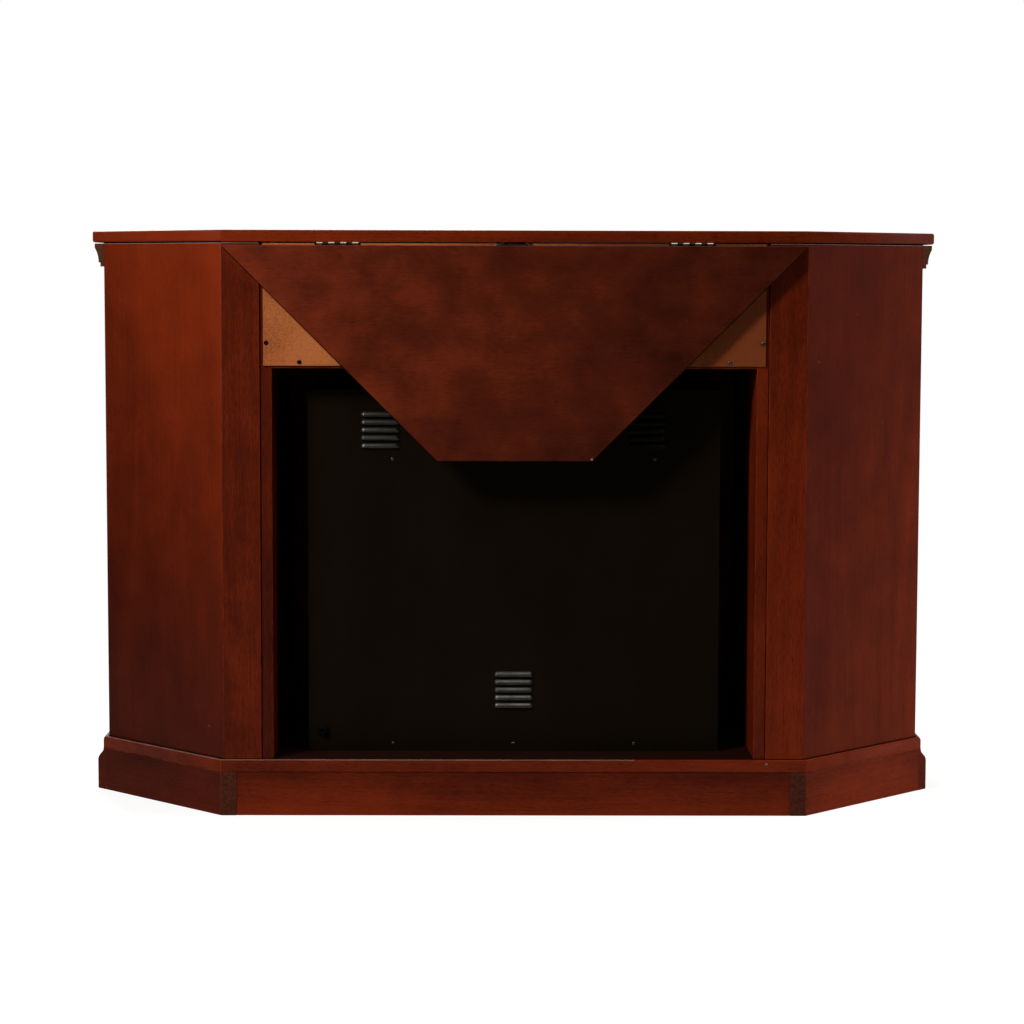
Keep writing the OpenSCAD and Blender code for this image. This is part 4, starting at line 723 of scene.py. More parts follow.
class FIREPLACE_OT_mouldings(bpy.types.Operator):
    """Makes the crown, the base moulding and the trim round the firebox again, mitred and eased"""
    bl_idname = "fireplace.mouldings"
    bl_label = "Mouldings"

    def execute(self, context):
        arris = context.scene.fireplace_sizes.moulding_arris
        for node in ("crown_front", "base_moulding_front", "base_moulding_sides"):
            place_boards(node, cherry(), arris)
        place_boards("crown_sides", cherry(), arris, bare=[bare_or_painted_board("sawn_crown_grain", "#4e2c1d")],
                     test=lambda face: 1 if face.normal.y > 0.6 else 0)
        lo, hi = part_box("firebox_trim")
        left_corner, right_corner = Vector((lo.x, 0, hi.z)), Vector((hi.x, 0, hi.z))
        head, right, left = (merged_copy("firebox_trim") for _ in range(3))
        cut_off(head, right_corner, Vector((1, 0, -1)))
        cut_off(head, left_corner, Vector((-1, 0, -1)))
        cut_off(right, right_corner, Vector((-1, 0, 1)))
        cut_off(left, left_corner, Vector((1, 0, 1)))
        place_boards("firebox_trim", cherry(), arris, parts=gathered([head, right, left]))
        return {"FINISHED"}


class FIREPLACE_OT_doors(bpy.types.Operator):
    """Makes the stiles, rails and raised panels of both doors again as eased boards"""
    bl_idname = "fireplace.doors"
    bl_label = "Doors"

    def execute(self, context):
        arris = context.scene.fireplace_sizes.arris
        for side in ("l", "r"):
            lo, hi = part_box("door_frame_" + side)
            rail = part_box("door_panel_" + side)[0].x - lo.x
            inner, outer = Vector((lo.x + rail, 0, 0)), Vector((hi.x - rail, 0, 0))
            parts = []
            for point, normal in ((inner, X_AXIS), (outer, -X_AXIS)):
                stile = merged_copy("door_frame_" + side)
                cut_off(stile, point, normal)
                parts.append(stile)
            rails = merged_copy("door_frame_" + side)
            cut_off(rails, inner, -X_AXIS)
            cut_off(rails, outer, X_AXIS)
            parts.append(rails)
            place_boards("door_frame_" + side, cherry(), arris / 2, parts=gathered(parts))
            place_boards("door_panel_" + side, cherry(), arris / 2)
        return {"FINISHED"}


class FIREPLACE_OT_leaf(bpy.types.Operator):
    """Makes the hanging leaf again, with its mottled stain and its small dents"""
    bl_idname = "fireplace.leaf"
    bl_label = "Drop leaf"

    def execute(self, context):
        stains = linear("#2a0c06"), linear("#521c0c"), linear("#7a2d14")
        wood = stained_cherry("stained_cherry_leaf", stains, streak=0.4, mottle=0.6, fibre=0.7,
                              cloud=0.65, wear=0.25, marks=LEAF_MARKS)
        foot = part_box("drop_leaf")[0].z + 5 * MM
        # The slanting sides are painted dark as a painted shadow line along the leaf's edges, the foot is
        # not
        place_boards("drop_leaf", wood, 1.5 * context.scene.fireplace_sizes.arris, slot="leaf_wood",
                     bare=[bare_or_painted_board("sealed_cherry_edge", "#140502")],
                     test=lambda face: int(face.normal.z < -0.1 and face.calc_center_median().z > foot))
        return {"FINISHED"}


class FIREPLACE_OT_back(bpy.types.Operator):
    """Finishes the hardboard back"""
    bl_idname = "fireplace.back"
    bl_label = "Hardboard back"

    def execute(self, context):
        colour = tuple(context.scene.fireplace_colours.hardboard)
        finish_node("hardboard_back", pressed_hardboard("pressed_hardboard", colour))
        return {"FINISHED"}


def screw_head(rise, recess):
    """A domed head of radius 1 with a cross recess, on the plane y = 0 and pointing to +y."""
    bm = bmesh.new()
    # From the middle to the rim
    profile = [(0.0, rise), (0.45, rise * 0.97), (0.8, rise * 0.78), (0.97, rise * 0.42), (1.0, 0.0)]
    verts = [bm.verts.new((r, h, 0)) for r, h in profile]
    edges = [bm.edges.new(pair) for pair in zip(verts, verts[1:])]
    bmesh.ops.spin(bm, geom=verts + edges, cent=(0, 0, 0), axis=(0, 1, 0), angle=math.tau,
                   steps=28, use_merge=True)
    bmesh.ops.remove_doubles(bm, verts=bm.verts, dist=0.001)
    rim = [e for e in bm.edges if e.is_boundary]
    bmesh.ops.holes_fill(bm, edges=rim)
    bmesh.ops.recalc_face_normals(bm, faces=bm.faces)
    for face in bm.faces:
        face.smooth = True
    head = bpy.data.meshes.new("head")
    bm.to_mesh(head)
    bm.free()
    cross = bmesh.new()
    for turn in (0, math.pi / 2):
        bar = bmesh.ops.create_cube(cross, size=1)["verts"]
        bmesh.ops.scale(cross, verts=bar, vec=(recess * 2, 1.2 * rise, 0.26))
        bmesh.ops.rotate(cross, verts=bar, cent=(0, 0, 0), matrix=Matrix.Rotation(turn, 3, "Y"))
        bmesh.ops.translate(cross, verts=bar, vec=(0, rise, 0))
    tool = bpy.data.meshes.new("cross")
    cross.to_mesh(tool)
    cross.free()
    made, cutter = bpy.data.objects.new("head", head), bpy.data.objects.new("cross", tool)
    for o in (made, cutter):
        bpy.context.scene.collection.objects.link(o)
    cut = made.modifiers.new("recess", "BOOLEAN")
    cut.object = cutter
    cut.operation = "DIFFERENCE"
    cut.use_self = True
    result = bpy.data.meshes.new_from_object(made.evaluated_get(bpy.context.evaluated_depsgraph_get()))
    for o in (made, cutter):
        bpy.data.objects.remove(o)
    return result


def place_screws(name, body, places, rise, materials, *stands_for, finish=lambda point: 0):
    """Sets screws on points, each with its direction and radius, and each turned its own way.

    Finish gives the number of the material of the screw on a point.
    """
    head = screw_head(rise, bpy.context.scene.fireplace_sizes.recess)
    chance = random.Random(name)
    bm = bmesh.new()
    for point, out, radius in places:
        before = set(bm.verts)
        known = set(bm.faces)
        bm.from_mesh(head)
        turn = Matrix.Rotation(chance.uniform(0, math.pi / 2), 4, "Y")
        lie = Y_AXIS.rotation_difference(out).to_matrix().to_4x4()
        size = Matrix.Scale(radius, 4)
        bmesh.ops.transform(bm, matrix=Matrix.Translation(point) @ lie @ turn @ size,
                            verts=[v for v in bm.verts if v not in before])
        for face in bm.faces:
            if face not in known:
                face.material_index = finish(point)
    bpy.data.meshes.remove(head)
    place_piece(bm, name, body, "zinc_steel", materials, *stands_for)


BRIGHT_SIDE = -100 * MM     # The hardboard's screws are zinc plated below this x, else blackened


class FIREPLACE_OT_rear_screws(bpy.types.Operator):
    """Makes the pan-head screws of the hardboard and the firebox, each turned its own way"""
    bl_idname = "fireplace.rear_screws"
    bl_label = "Rear screws"

    def execute(self, context):
        seen = merged_copy("rear_screws")
        boxes = sorted((box_of(g) for g in islands(seen)), key=lambda b: tuple(b[0]))
        seen.free()
        places = [(Vector(((lo.x + hi.x) / 2, lo.y, (lo.z + hi.z) / 2)), Y_AXIS, (hi.x - lo.x) / 2)
                  for lo, hi in boxes]
        black = worked_metal("blackened_steel_screw", "#2e2a26", "#0f0c0a", 0.38, 300)
        zinc = worked_metal("zinc_plated_screw", "#827d72", "#403c34", 0.34, 300)
        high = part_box("firebox_back")[1].z
        place_screws("rear_screw_heads", "cabinet", places, 0.55, [black, zinc], "rear_screws",
                     finish=lambda point: int(point.z < high or point.x < BRIGHT_SIDE))
        return {"FINISHED"}


NAIL_X, NAIL_Z = -355 * MM, 74 * MM
NAIL_RADIUS, NAIL_THICKNESS = 1.9 * MM, 0.5 * MM


class FIREPLACE_OT_nail(bpy.types.Operator):
    """Makes the flat head of the nail in the bottom board's back edge"""
    bl_idname = "fireplace.nail"
    bl_label = "Nail head"

    def execute(self, context):
        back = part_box("bottom_panel")[1].y
        bm = bmesh.new()
        bmesh.ops.create_cone(bm, cap_ends=True, segments=20, radius1=NAIL_RADIUS,
                              radius2=NAIL_RADIUS - 0.3 * MM, depth=NAIL_THICKNESS)
        place = Matrix.Translation((NAIL_X, back + 0.2 * MM, NAIL_Z))
        bmesh.ops.transform(bm, matrix=place @ Matrix.Rotation(-math.pi / 2, 4, "X"), verts=bm.verts)
        metal = worked_metal("drawn_steel_nail", "#d8d2c4", "#a39b8b", 0.4, 200)
        place_piece(bm, "nail_head", "cabinet", "zinc_steel", [metal])
        return {"FINISHED"}


class FIREPLACE_OT_cord_gland(bpy.types.Operator):
    """Makes the gland of the supply cord, a flanged nut on a hollow neck"""
    bl_idname = "fireplace.cord_gland"
    bl_label = "Cord gland"

    def execute(self, context):
        lo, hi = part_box("cord_gland")
        centre = (lo + hi) / 2
        flange = (hi.x - lo.x) / 2
        deep = hi.y - lo.y
        bm = bmesh.new()
        # From the bore out over the neck to the flange, as shares of the flange and of the depth
        profile = [(0.36, 0.15), (0.36, 1.0), (0.5, 1.0), (0.6, 0.9), (0.64, 0.72), (0.64, 0.34),
                   (0.9, 0.3), (1.0, 0.2), (1.0, 0.0)]
        verts = [bm.verts.new((centre.x + r * flange, lo.y + h * deep, centre.z)) for r, h in profile]
        edges = [bm.edges.new(pair) for pair in zip(verts, verts[1:])]
        bmesh.ops.spin(bm, geom=verts + edges, cent=(centre.x, 0, centre.z), axis=(0, 1, 0),
                       angle=math.tau, steps=48, use_merge=True)
        bmesh.ops.remove_doubles(bm, verts=bm.verts, dist=0.001 * MM)
        bmesh.ops.holes_fill(bm, edges=[e for e in bm.edges if e.is_boundary])
        nut = bmesh.ops.create_cone(bm, cap_ends=True, segments=6, radius1=0.8 * flange,
                                    radius2=0.8 * flange, depth=0.34 * deep)["verts"]
        place = Matrix.Translation((centre.x, lo.y + 0.42 * deep, centre.z))
        bmesh.ops.transform(bm, matrix=place @ Matrix.Rotation(math.pi / 2, 4, "X"), verts=nut)
        bmesh.ops.recalc_face_normals(bm, faces=bm.faces)
        for face in bm.faces:
            face.smooth = True
        for e in bm.edges:
            e.smooth = e.calc_face_angle(0) < math.radians(35)
        plastic = moulded_plastic("moulded_nylon_gland", "#080605", rough=0.6, shine=0.15)
        place_piece(bm, "cord_gland_body", "cabinet", "black_plastic", [plastic], "cord_gland")
        return {"FINISHED"}


SHADED_SIDE = -50 * MM      # Painted shade: the louvres below this x, in the leaf's shadow, get a dark copy of the hoods' finish


class FIREPLACE_OT_firebox(bpy.types.Operator):
    """Finishes the sheet metal of the firebox, its louvre hoods painted brighter than the plate as a
    painted highlight, those in the leaf's shadow darker as painted shade
    """
    bl_idname = "fireplace.firebox"
    bl_label = "Firebox sheet metal"

    def execute(self, context):
        coat = powder_coated_steel("powder_coated_steel",
                                   tuple(context.scene.fireplace_colours.powder_coat))
        for node in ("firebox_shell", "firebox_bezel", "outlet_grille", "support_bar"):
            finish_node(node, coat)
        # Painted highlight: a pale metal finish on the hoods for the light they catch, and a dark copy of
        # it for the hoods in shadow
        rubbed = worked_metal("rubbed_steel_hoods", "#7e7b73", "#5e5b55", 0.42, 60)
        shaded_hoods = worked_metal("thinly_coated_steel_hoods", "#34322e", "#242320", 0.42, 60)
        back = merged_copy("firebox_back")
        for face in back.faces:
            face.smooth = 0.1 < face.normal.y < 0.995
            hood = 1 if face.calc_center_median().x > SHADED_SIDE else 2
            face.material_index = hood if face.smooth else 0
        for e in back.edges:
            e.smooth = e.calc_face_angle(0) < math.radians(30)
        place_piece(back, "firebox_back_plate", "cabinet", "black_steel", [coat, rubbed, shaded_hoods],
                    "firebox_back")
        finish_node("heater_case", galvanised_sheet("galvanised_sheet"))
        finish_node("heating_element", worked_metal("stamped_steel_fins", "#b9a98c", "#5d5348", 0.4, 60))
        finish_node("blower_wheel", worked_metal("galvanised_blower", "#a9afb1", "#7f8588", 0.35, 90))
        return {"FINISHED"}


HINGE_LENGTH = 58 * MM      # Length of a leaf hinge
PLATE = 1.2 * MM            # Thickness of its plates
KNUCKLE = 2.2 * MM          # Radius of its knuckles
HOLE_SPREAD = 19.06 * MM    # Outer holes, from the middle of the hinge
HOLE_FAR = 25 * MM          # Outer holes, from the pin
HOLE_NEAR = 7.2 * MM        # Middle hole, from the pin
HEAD_RADIUS = 3 * MM        # Heads of its screws
EAR_X, EAR_Y = 7 * MM, 10 * MM      # Holes of the bar's straps, from the ends of the straps
STRAP = 1.5 * MM            # Thickness of the straps
PAN_RADIUS = 3.6 * MM       # Heads of their screws


class FIREPLACE_OT_hardware(bpy.types.Operator):
    """Finishes the hinges, knobs, catches, pins and guides"""
    bl_idname = "fireplace.hardware"
    bl_label = "Hardware"

    def execute(self, context):
        nickel = worked_metal("nickel_plated_steel", "#c9c3b5", "#8c8272", 0.26, 120)
        for node in ("bar_guides", "shelf_pins"):
            finish_node(node, nickel)
        # Painted light and shade: the fixed half of the leaf hinges is near white and the moving half
        # near black, lit and shaded copies of one plated steel for the bright and dark knuckles
        lit_knuckle_steel = worked_metal("brass_plated_steel", "#f3e9d2", "#d8c8a4", 0.24, 120)
        shaded_knuckle_steel = worked_metal("blackened_steel_knuckles", "#4b4439", "#221d17", 0.36, 120)
        finish_node("leaf_hinge_fixed", lit_knuckle_steel)
        finish_node("leaf_hinge_moving", shaded_knuckle_steel)
        bronze = worked_metal("oil_rubbed_bronze", "#5a3c26", "#1d130d", 0.34, 90)
        for node in ("door_knob_l", "door_knob_r", "door_hinge_fixed", "door_metal_l", "door_metal_r"):
            finish_node(node, bronze)
        finish_node("door_catches", moulded_plastic("moulded_nylon_white", "#d9d6cc"))
        self.screw_leaf_hinges(nickel)
        self.screw_bar_guides(nickel)
        return {"FINISHED"}

    def screw_leaf_hinges(self, metal):
        """Screws in the three holes of every hinge plate, under the top and on the leaf."""
        for node, body, out in (("leaf_hinge_fixed", "cabinet", -Z_AXIS),
                                ("leaf_hinge_moving", "leaf", -Y_AXIS)):
            lo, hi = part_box(node)
            places = []
            for middle in (hi.x - HINGE_LENGTH / 2, lo.x + HINGE_LENGTH / 2):
                for across, along in ((-HOLE_SPREAD, HOLE_FAR), (0, HOLE_NEAR), (HOLE_SPREAD, HOLE_FAR)):
                    if body == "leaf":
                        y, z = hi.y - PLATE, hi.z - KNUCKLE - along
                    else:
                        y, z = hi.y - KNUCKLE - along, hi.z - PLATE
                    places.append((Vector((middle + across, y, z)), out, HEAD_RADIUS))
            place_screws(node + "_screws", body, places, 0.24, [metal])

    def screw_bar_guides(self, metal):
        """Pan-head screws through the ears of both straps."""
        lo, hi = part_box("bar_guides")
        places = [(Vector((x, y, hi.z - STRAP)), -Z_AXIS, PAN_RADIUS)
                  for x in (lo.x + EAR_X, hi.x - EAR_X) for y in (lo.y + EAR_Y, hi.y - EAR_Y)]
        place_screws("bar_guide_screws", "cabinet", places, 0.5, [metal])


LOG_SIDES = 44
LOG_STEP = 5 * MM           # Length between the rings of a log's mesh


def bark_log(length, near_radius, far_radius, seed):
    """A log along z, with furrowed bark, slanted ends and growth rings cut into them."""
    bm = bmesh.new()
    grain = bm.verts.layers.float_vector.new("grain")
    cut = bm.faces.layers.float.new("worn")
    start = Vector((seed * 3.7, seed * 1.3, seed * 2.1))
    bmesh.ops.create_circle(bm, cap_ends=True, segments=LOG_SIDES, radius=near_radius)
    end = bm.faces[:]
    steps = round(length / LOG_STEP)
    for i in range(steps):
        made = bmesh.ops.extrude_face_region(bm, geom=end)["geom"]
        bmesh.ops.delete(bm, geom=end, context="FACES_ONLY")
        end = [g for g in made if isinstance(g, bmesh.types.BMFace)]
        ring = end[0].verts[:]
        bmesh.ops.translate(bm, verts=ring, vec=(0, 0, length / steps))
        before = near_radius + (far_radius - near_radius) * i / steps
        after = near_radius + (far_radius - near_radius) * (i + 1) / steps
        bmesh.ops.scale(bm, verts=ring, vec=(after / before, after / before, 1))
    in_order(bm)
    bmesh.ops.holes_fill(bm, edges=[e for e in bm.edges if e.is_boundary])
    for v in bm.verts:
        # Furrows 9 mm apart, 1.3 mm deep and 50 mm long, on a slow bend
        around = Vector((v.co.x * 110, v.co.y * 110, v.co.z * 20)) + start
        furrow = abs(noise.noise(around)) + 0.4 * abs(noise.noise(around * 2.3))
        bend = noise.noise(Vector((seed, 0, v.co.z * 7))) * 1.2 * MM
        out = Vector((v.co.x, v.co.y, 0)).normalized()
        v.co += out * (-1.6 * MM - 2.6 * MM * (0.5 - min(0.5, furrow))) + Vector((bend, -bend, 0))
    for point, tilt in ((length - 4 * MM, 22), (3 * MM, -16)):
        facing = 1 if tilt > 0 else -1
        normal = Matrix.Rotation(math.radians(tilt), 3, "Y") @ Vector((0, 0, facing))
        cut_off(bm, Vector((0, 0, point)), normal)
        for face in bm.faces:
            if face.normal.dot(normal) > 0.97 and len(face.verts) > 20:
                face[cut] = 1
    for face in [f for f in bm.faces if f[cut] > 0.5]:
        for share, deep in ((0.1, -0.5), (0.3, 0.35), (0.35, -0.35)):
            made = bmesh.ops.inset_region(
                bm, faces=[face], thickness=share * far_radius, depth=deep * MM)
            for side in made["faces"]:
                side[cut] = 1
    for v in bm.verts:
        v[grain] = Vector((v.co.z, v.co.x, v.co.y)) + start
    bmesh.ops.recalc_face_normals(bm, faces=bm.faces)
    for face in bm.faces:
        face.smooth = face[cut] < 0.5
    return bm


# The logs as they lie: the start from the middle of the bed, the length, both radii, the heading
# and the pitch, in millimetres and degrees
LOGS = (((-190, 24, 22), 370, 25, 21, 1, 1), ((-205, -40, 16), 220, 20, 17, 9, 3),
        ((24, -8, 17), 190, 20, 16, -10, 4), ((-120, -34, 42), 180, 17, 13, 30, 12),
        ((10, -12, 42), 170, 16, 12, 14, 6), ((-40, -4, 40), 90, 12, 8, -24, 32))


COAL_SIDE, COAL_FRONT = 30 * MM, 12 * MM    # Room between the coals and the edges of the bed
COAL_FRONT_AND_BACK = 28 * MM


class FIREPLACE_OT_fire(bpy.types.Operator):
    """Makes the logs and coals, and finishes the glass and what makes the flames"""
    bl_idname = "fireplace.fire"
    bl_label = "Fire"

    def execute(self, context):
        finish_node("firebox_glass", float_glass("smoked_float_glass"))
        finish_node("flame_screen", flame_sheet("frosted_acrylic"))
        finish_node("flame_rotor",
                    worked_metal("crinkled_aluminium_foil", "#d8d8d6", "#a8a8a6", 0.18, 40))
        finish_node("rotor_bearings", moulded_plastic("moulded_nylon_black", "#131211"))
        finish_node("lamp_bar", moulded_plastic("moulded_abs_cream", "#dedbd0"))
        finish_node("ember_bed", cast_embers("cast_resin_embers"))
        self.lay_logs()
        self.strew_coals(context.scene.fireplace_sizes.coals)
        return {"FINISHED"}

    def lay_logs(self):
        """The logs, with bark, on the bed."""
        lo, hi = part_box("ember_bed")
        middle = Vector((0, (lo.y + hi.y) / 2 + 14 * MM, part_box("log_set")[0].z))
        logs = []
        for i, (start, length, near, far, heading, pitch) in enumerate(LOGS):
            bm = bark_log(length * MM, near * MM, far * MM, i + 1)
            lie = (Matrix.Translation(middle + Vector(start) * MM)
                   @ Matrix.Rotation(math.radians(heading), 4, "Z")
                   @ Matrix.Rotation(math.radians(90 - pitch), 4, "Y"))
            bmesh.ops.transform(bm, matrix=lie, verts=bm.verts)
            logs.append(bm)
        whole = gathered(logs)
        cut_off(whole, Vector((0, 0, middle.z + 0.2 * MM)), -Z_AXIS)
        place_piece(whole, "bark_logs", "cabinet", "log_resin", [cast_bark("cast_resin_bark")], "log_set")

    def strew_coals(self, count):
        """Small coals strewn over the bed, thickest along its front."""
        lo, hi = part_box("ember_bed")
        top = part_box("log_set")[0].z
        chance = random.Random("coals")
        bm = bmesh.new()
        for _ in range(count):
            radius = chance.uniform(3, 7) * MM
            deep = chance.random() ** 1.6
            place = Vector((chance.uniform(lo.x + COAL_SIDE, hi.x - COAL_SIDE),
                            lo.y + COAL_FRONT + deep * (hi.y - lo.y - COAL_FRONT_AND_BACK),
                            top + 0.25 * radius))
            coal = bmesh.ops.create_icosphere(bm, subdivisions=2, radius=radius)["verts"]
            for v in coal:
                lump = noise.noise(v.co * (1.1 / radius) + place * 40)
                v.co *= 0.85 + 0.35 * lump
            turn = Matrix.Rotation(chance.uniform(0, math.tau), 4, "Z")
            squash = Matrix.Diagonal((1.25, 1, chance.uniform(0.6, 0.9), 1))
            bmesh.ops.transform(bm, matrix=Matrix.Translation(place) @ turn @ squash, verts=coal)
        place_piece(bm, "strewn_coals", "cabinet", "ember_resin",
                    [bpy.data.materials["cast_resin_embers"]])


PAINT = 0.12                # Thickness of the painted marks in millimetres
DIAL_DOTS = 7
DIAL_STEP = -45             # Degrees from dot to dot, the way that the dial turns
DIAL_SCALE = 16             # Radius of the ring of dots in millimetres


def painted_bar(bm, size, matrix):
    """Adds a thin bar of paint, of a size in millimetres, to a bmesh."""
    bar = bmesh.ops.create_cube(bm, size=1)["verts"]
    bmesh.ops.scale(bm, verts=bar, vec=[c * MM for c in size])
    bmesh.ops.transform(bm, matrix=matrix, verts=bar)


def painted_ring(bm, outer, inner, matrix):
    """Adds a thin ring of paint, or a dot if its inner radius is 0, facing -y, to a bmesh."""
    verts = bmesh.ops.create_circle(bm, cap_ends=True, segments=32, radius=outer * MM)["verts"]
    if inner:
        bmesh.ops.inset_region(bm, faces=verts[0].link_faces[:], thickness=(outer - inner) * MM)
        verts = verts + [e.other_vert(v) for v in verts for e in v.link_edges
                         if e.other_vert(v) not in verts]
        hole = [f for f in verts[-1].link_faces if len(f.verts) > 4]
        bmesh.ops.delete(bm, geom=hole, context="FACES_ONLY")
    rim = list(dict.fromkeys(f for v in verts for f in v.link_faces))
    made = bmesh.ops.extrude_face_region(bm, geom=rim)["geom"]
    top = [g for g in made if isinstance(g, bmesh.types.BMVert)]
    bmesh.ops.translate(bm, verts=top, vec=(0, 0, PAINT * MM))
    bmesh.ops.transform(bm, matrix=matrix @ Matrix.Rotation(math.pi / 2, 4, "X"), verts=verts + top)


class FIREPLACE_OT_controls(bpy.types.Operator):
    """Finishes the control panel, its rocker and its dials, and paints their marks"""
    bl_idname = "fireplace.controls"
    bl_label = "Controls"

    def execute(self, context):
        black = moulded_plastic("moulded_abs_black", "#191817")
        for node in ("control_panel", "heat_knob", "flame_knob"):
            finish_node(node, black)
        finish_node("power_rocker", moulded_plastic("moulded_abs_red", "#8f1710", 0.3))
        paint = painted_marks("pad_printed_enamel", "#d9d5c8")
        scale = bmesh.new()
        for node in ("heat_knob", "flame_knob"):
            lo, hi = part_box(node)
            centre = Vector(((lo.x + hi.x) / 2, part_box("control_panel")[0].y, (lo.z + hi.z) / 2))
            for i in range(DIAL_DOTS):
                turn = math.radians(DIAL_STEP * i)
                away = Vector((math.sin(turn), 0, math.cos(turn))) * DIAL_SCALE * MM
                painted_ring(scale, 0.6 + 0.12 * i, 0, Matrix.Translation(centre + away))
            pointer = bmesh.new()
            face = Vector((centre.x, lo.y, centre.z + 6 * MM))
            painted_bar(pointer, (1.1, PAINT, 5.4), Matrix.Translation(face))
            place_piece(pointer, node + "_pointer", BODY_OF[node], "white_plastic", [paint])
        bmesh.ops.recalc_face_normals(scale, faces=scale.faces)
        place_piece(scale, "dial_marks", "cabinet", "white_plastic", [paint])
        self.mark_rocker(paint)
        return {"FINISHED"}

    def mark_rocker(self, paint):
        """The bar and ring for on and off, each on its half of the rocker's face."""
        seen = merged_copy("power_rocker")
        marks = bmesh.new()
        for on in (True, False):
            halves = [f for f in seen.faces
                      if f.normal.y < -0.9 and (f.normal.z > 0) == (f.calc_center_median().z > 0)]
            half = max(halves, key=lambda f: f.calc_center_median().z * (1 if on else -1))
            lie = (-Y_AXIS).rotation_difference(half.normal).to_matrix().to_4x4()
            place = Matrix.Translation(half.calc_center_median()) @ lie
            if on:
                painted_bar(marks, (0.9, PAINT, 4), place)
            else:
                painted_ring(marks, 2.2, 1.5, place)
        seen.free()
        bmesh.ops.recalc_face_normals(marks, faces=marks.faces)
        place_piece(marks, "rocker_marks", BODY_OF["power_rocker"], "white_plastic", [paint])


# ---------------------------------------------------------------------------
# The stage
# ---------------------------------------------------------------------------

PHOTO_SIDE = 1024           # Side of the photograph in pixels
FOCAL_PIXELS = 2671.9       # Its focal length in pixels, from the perspective of the cabinet
SENSOR = 36                 # Camera sensor in millimetres
CAMERA_PLACE = Vector((0.02945, 3.90047, 0.76505))
CAMERA_YAW = -0.0071
CAMERA_PITCH = 0.0904
CAMERA_ROLL = 0.0026
FLOOR_RADIUS = 1.8
FLOOR_FADE = 0.9, 1.7       # Distances between which the floor passes into the white
FLOOR_GLOW = 0.72           # Light added where it is seen, so that its lit parts are white
FLOOR_SHINE = 0.1           # Light added where it is mirrored
FLOOR_MIRRORED = 0.35       # Share of its colour where it is mirrored

# Softboxes: name, place, target, side, and whether each lights matt faces and shows in shiny ones
SOFTBOXES = (("key", (1.55, 1.9, 1.9), (0.2, 0.15, 0.5), 0.45, True, False),
             ("card", (1.6, 1.4, 1.75), (0.2, 0.15, 0.5), 0.7, False, True),
             ("fill", (-3.45, -0.3, 2.3), (0, 0, 0.4), 2, True, False),
             ("low", (-2.0, 0.7, 0.3), (-0.5, 0.1, 0.1), 0.5, True, False),
             ("front", (0.9, -3.6, 2.2), (0, 0, 0.4), 1.8, True, True))


def straight_sight(tree):
    """1 for rays of the camera, also through glass, and the outputs of the light's path."""
    path = add(tree, "LightPath").node.outputs
    bounces = add(tree, "Math", {0: path["Diffuse Depth"], 1: path["Glossy Depth"]}, operation="ADD")
    direct = add(tree, "Math", {0: bounces, 1: 0.5}, operation="LESS_THAN")
    through = add(tree, "Math", {0: path["Is Transmission Ray"], 1: direct}, operation="MULTIPLY")
    seen = add(tree, "Math", {0: path["Is Camera Ray"], 1: through}, operation="MAXIMUM")
    return seen, path


def softbox(name, place, target, side, power, lights, mirrored):
    """A square area light, which lights matt faces, or shows in shiny ones, or both."""
    data = bpy.data.lights.new(name, "AREA")
    data.shape = "SQUARE"
    data.size = side
    data.energy = power
    lamp = bpy.data.objects.new(name, data)
    lamp.location = place
    lamp.rotation_euler = (Vector(target) - lamp.location).to_track_quat("-Z", "Y").to_euler()
    lamp.visible_diffuse = lights
    lamp.visible_glossy = mirrored
    bpy.context.scene.collection.objects.link(lamp)


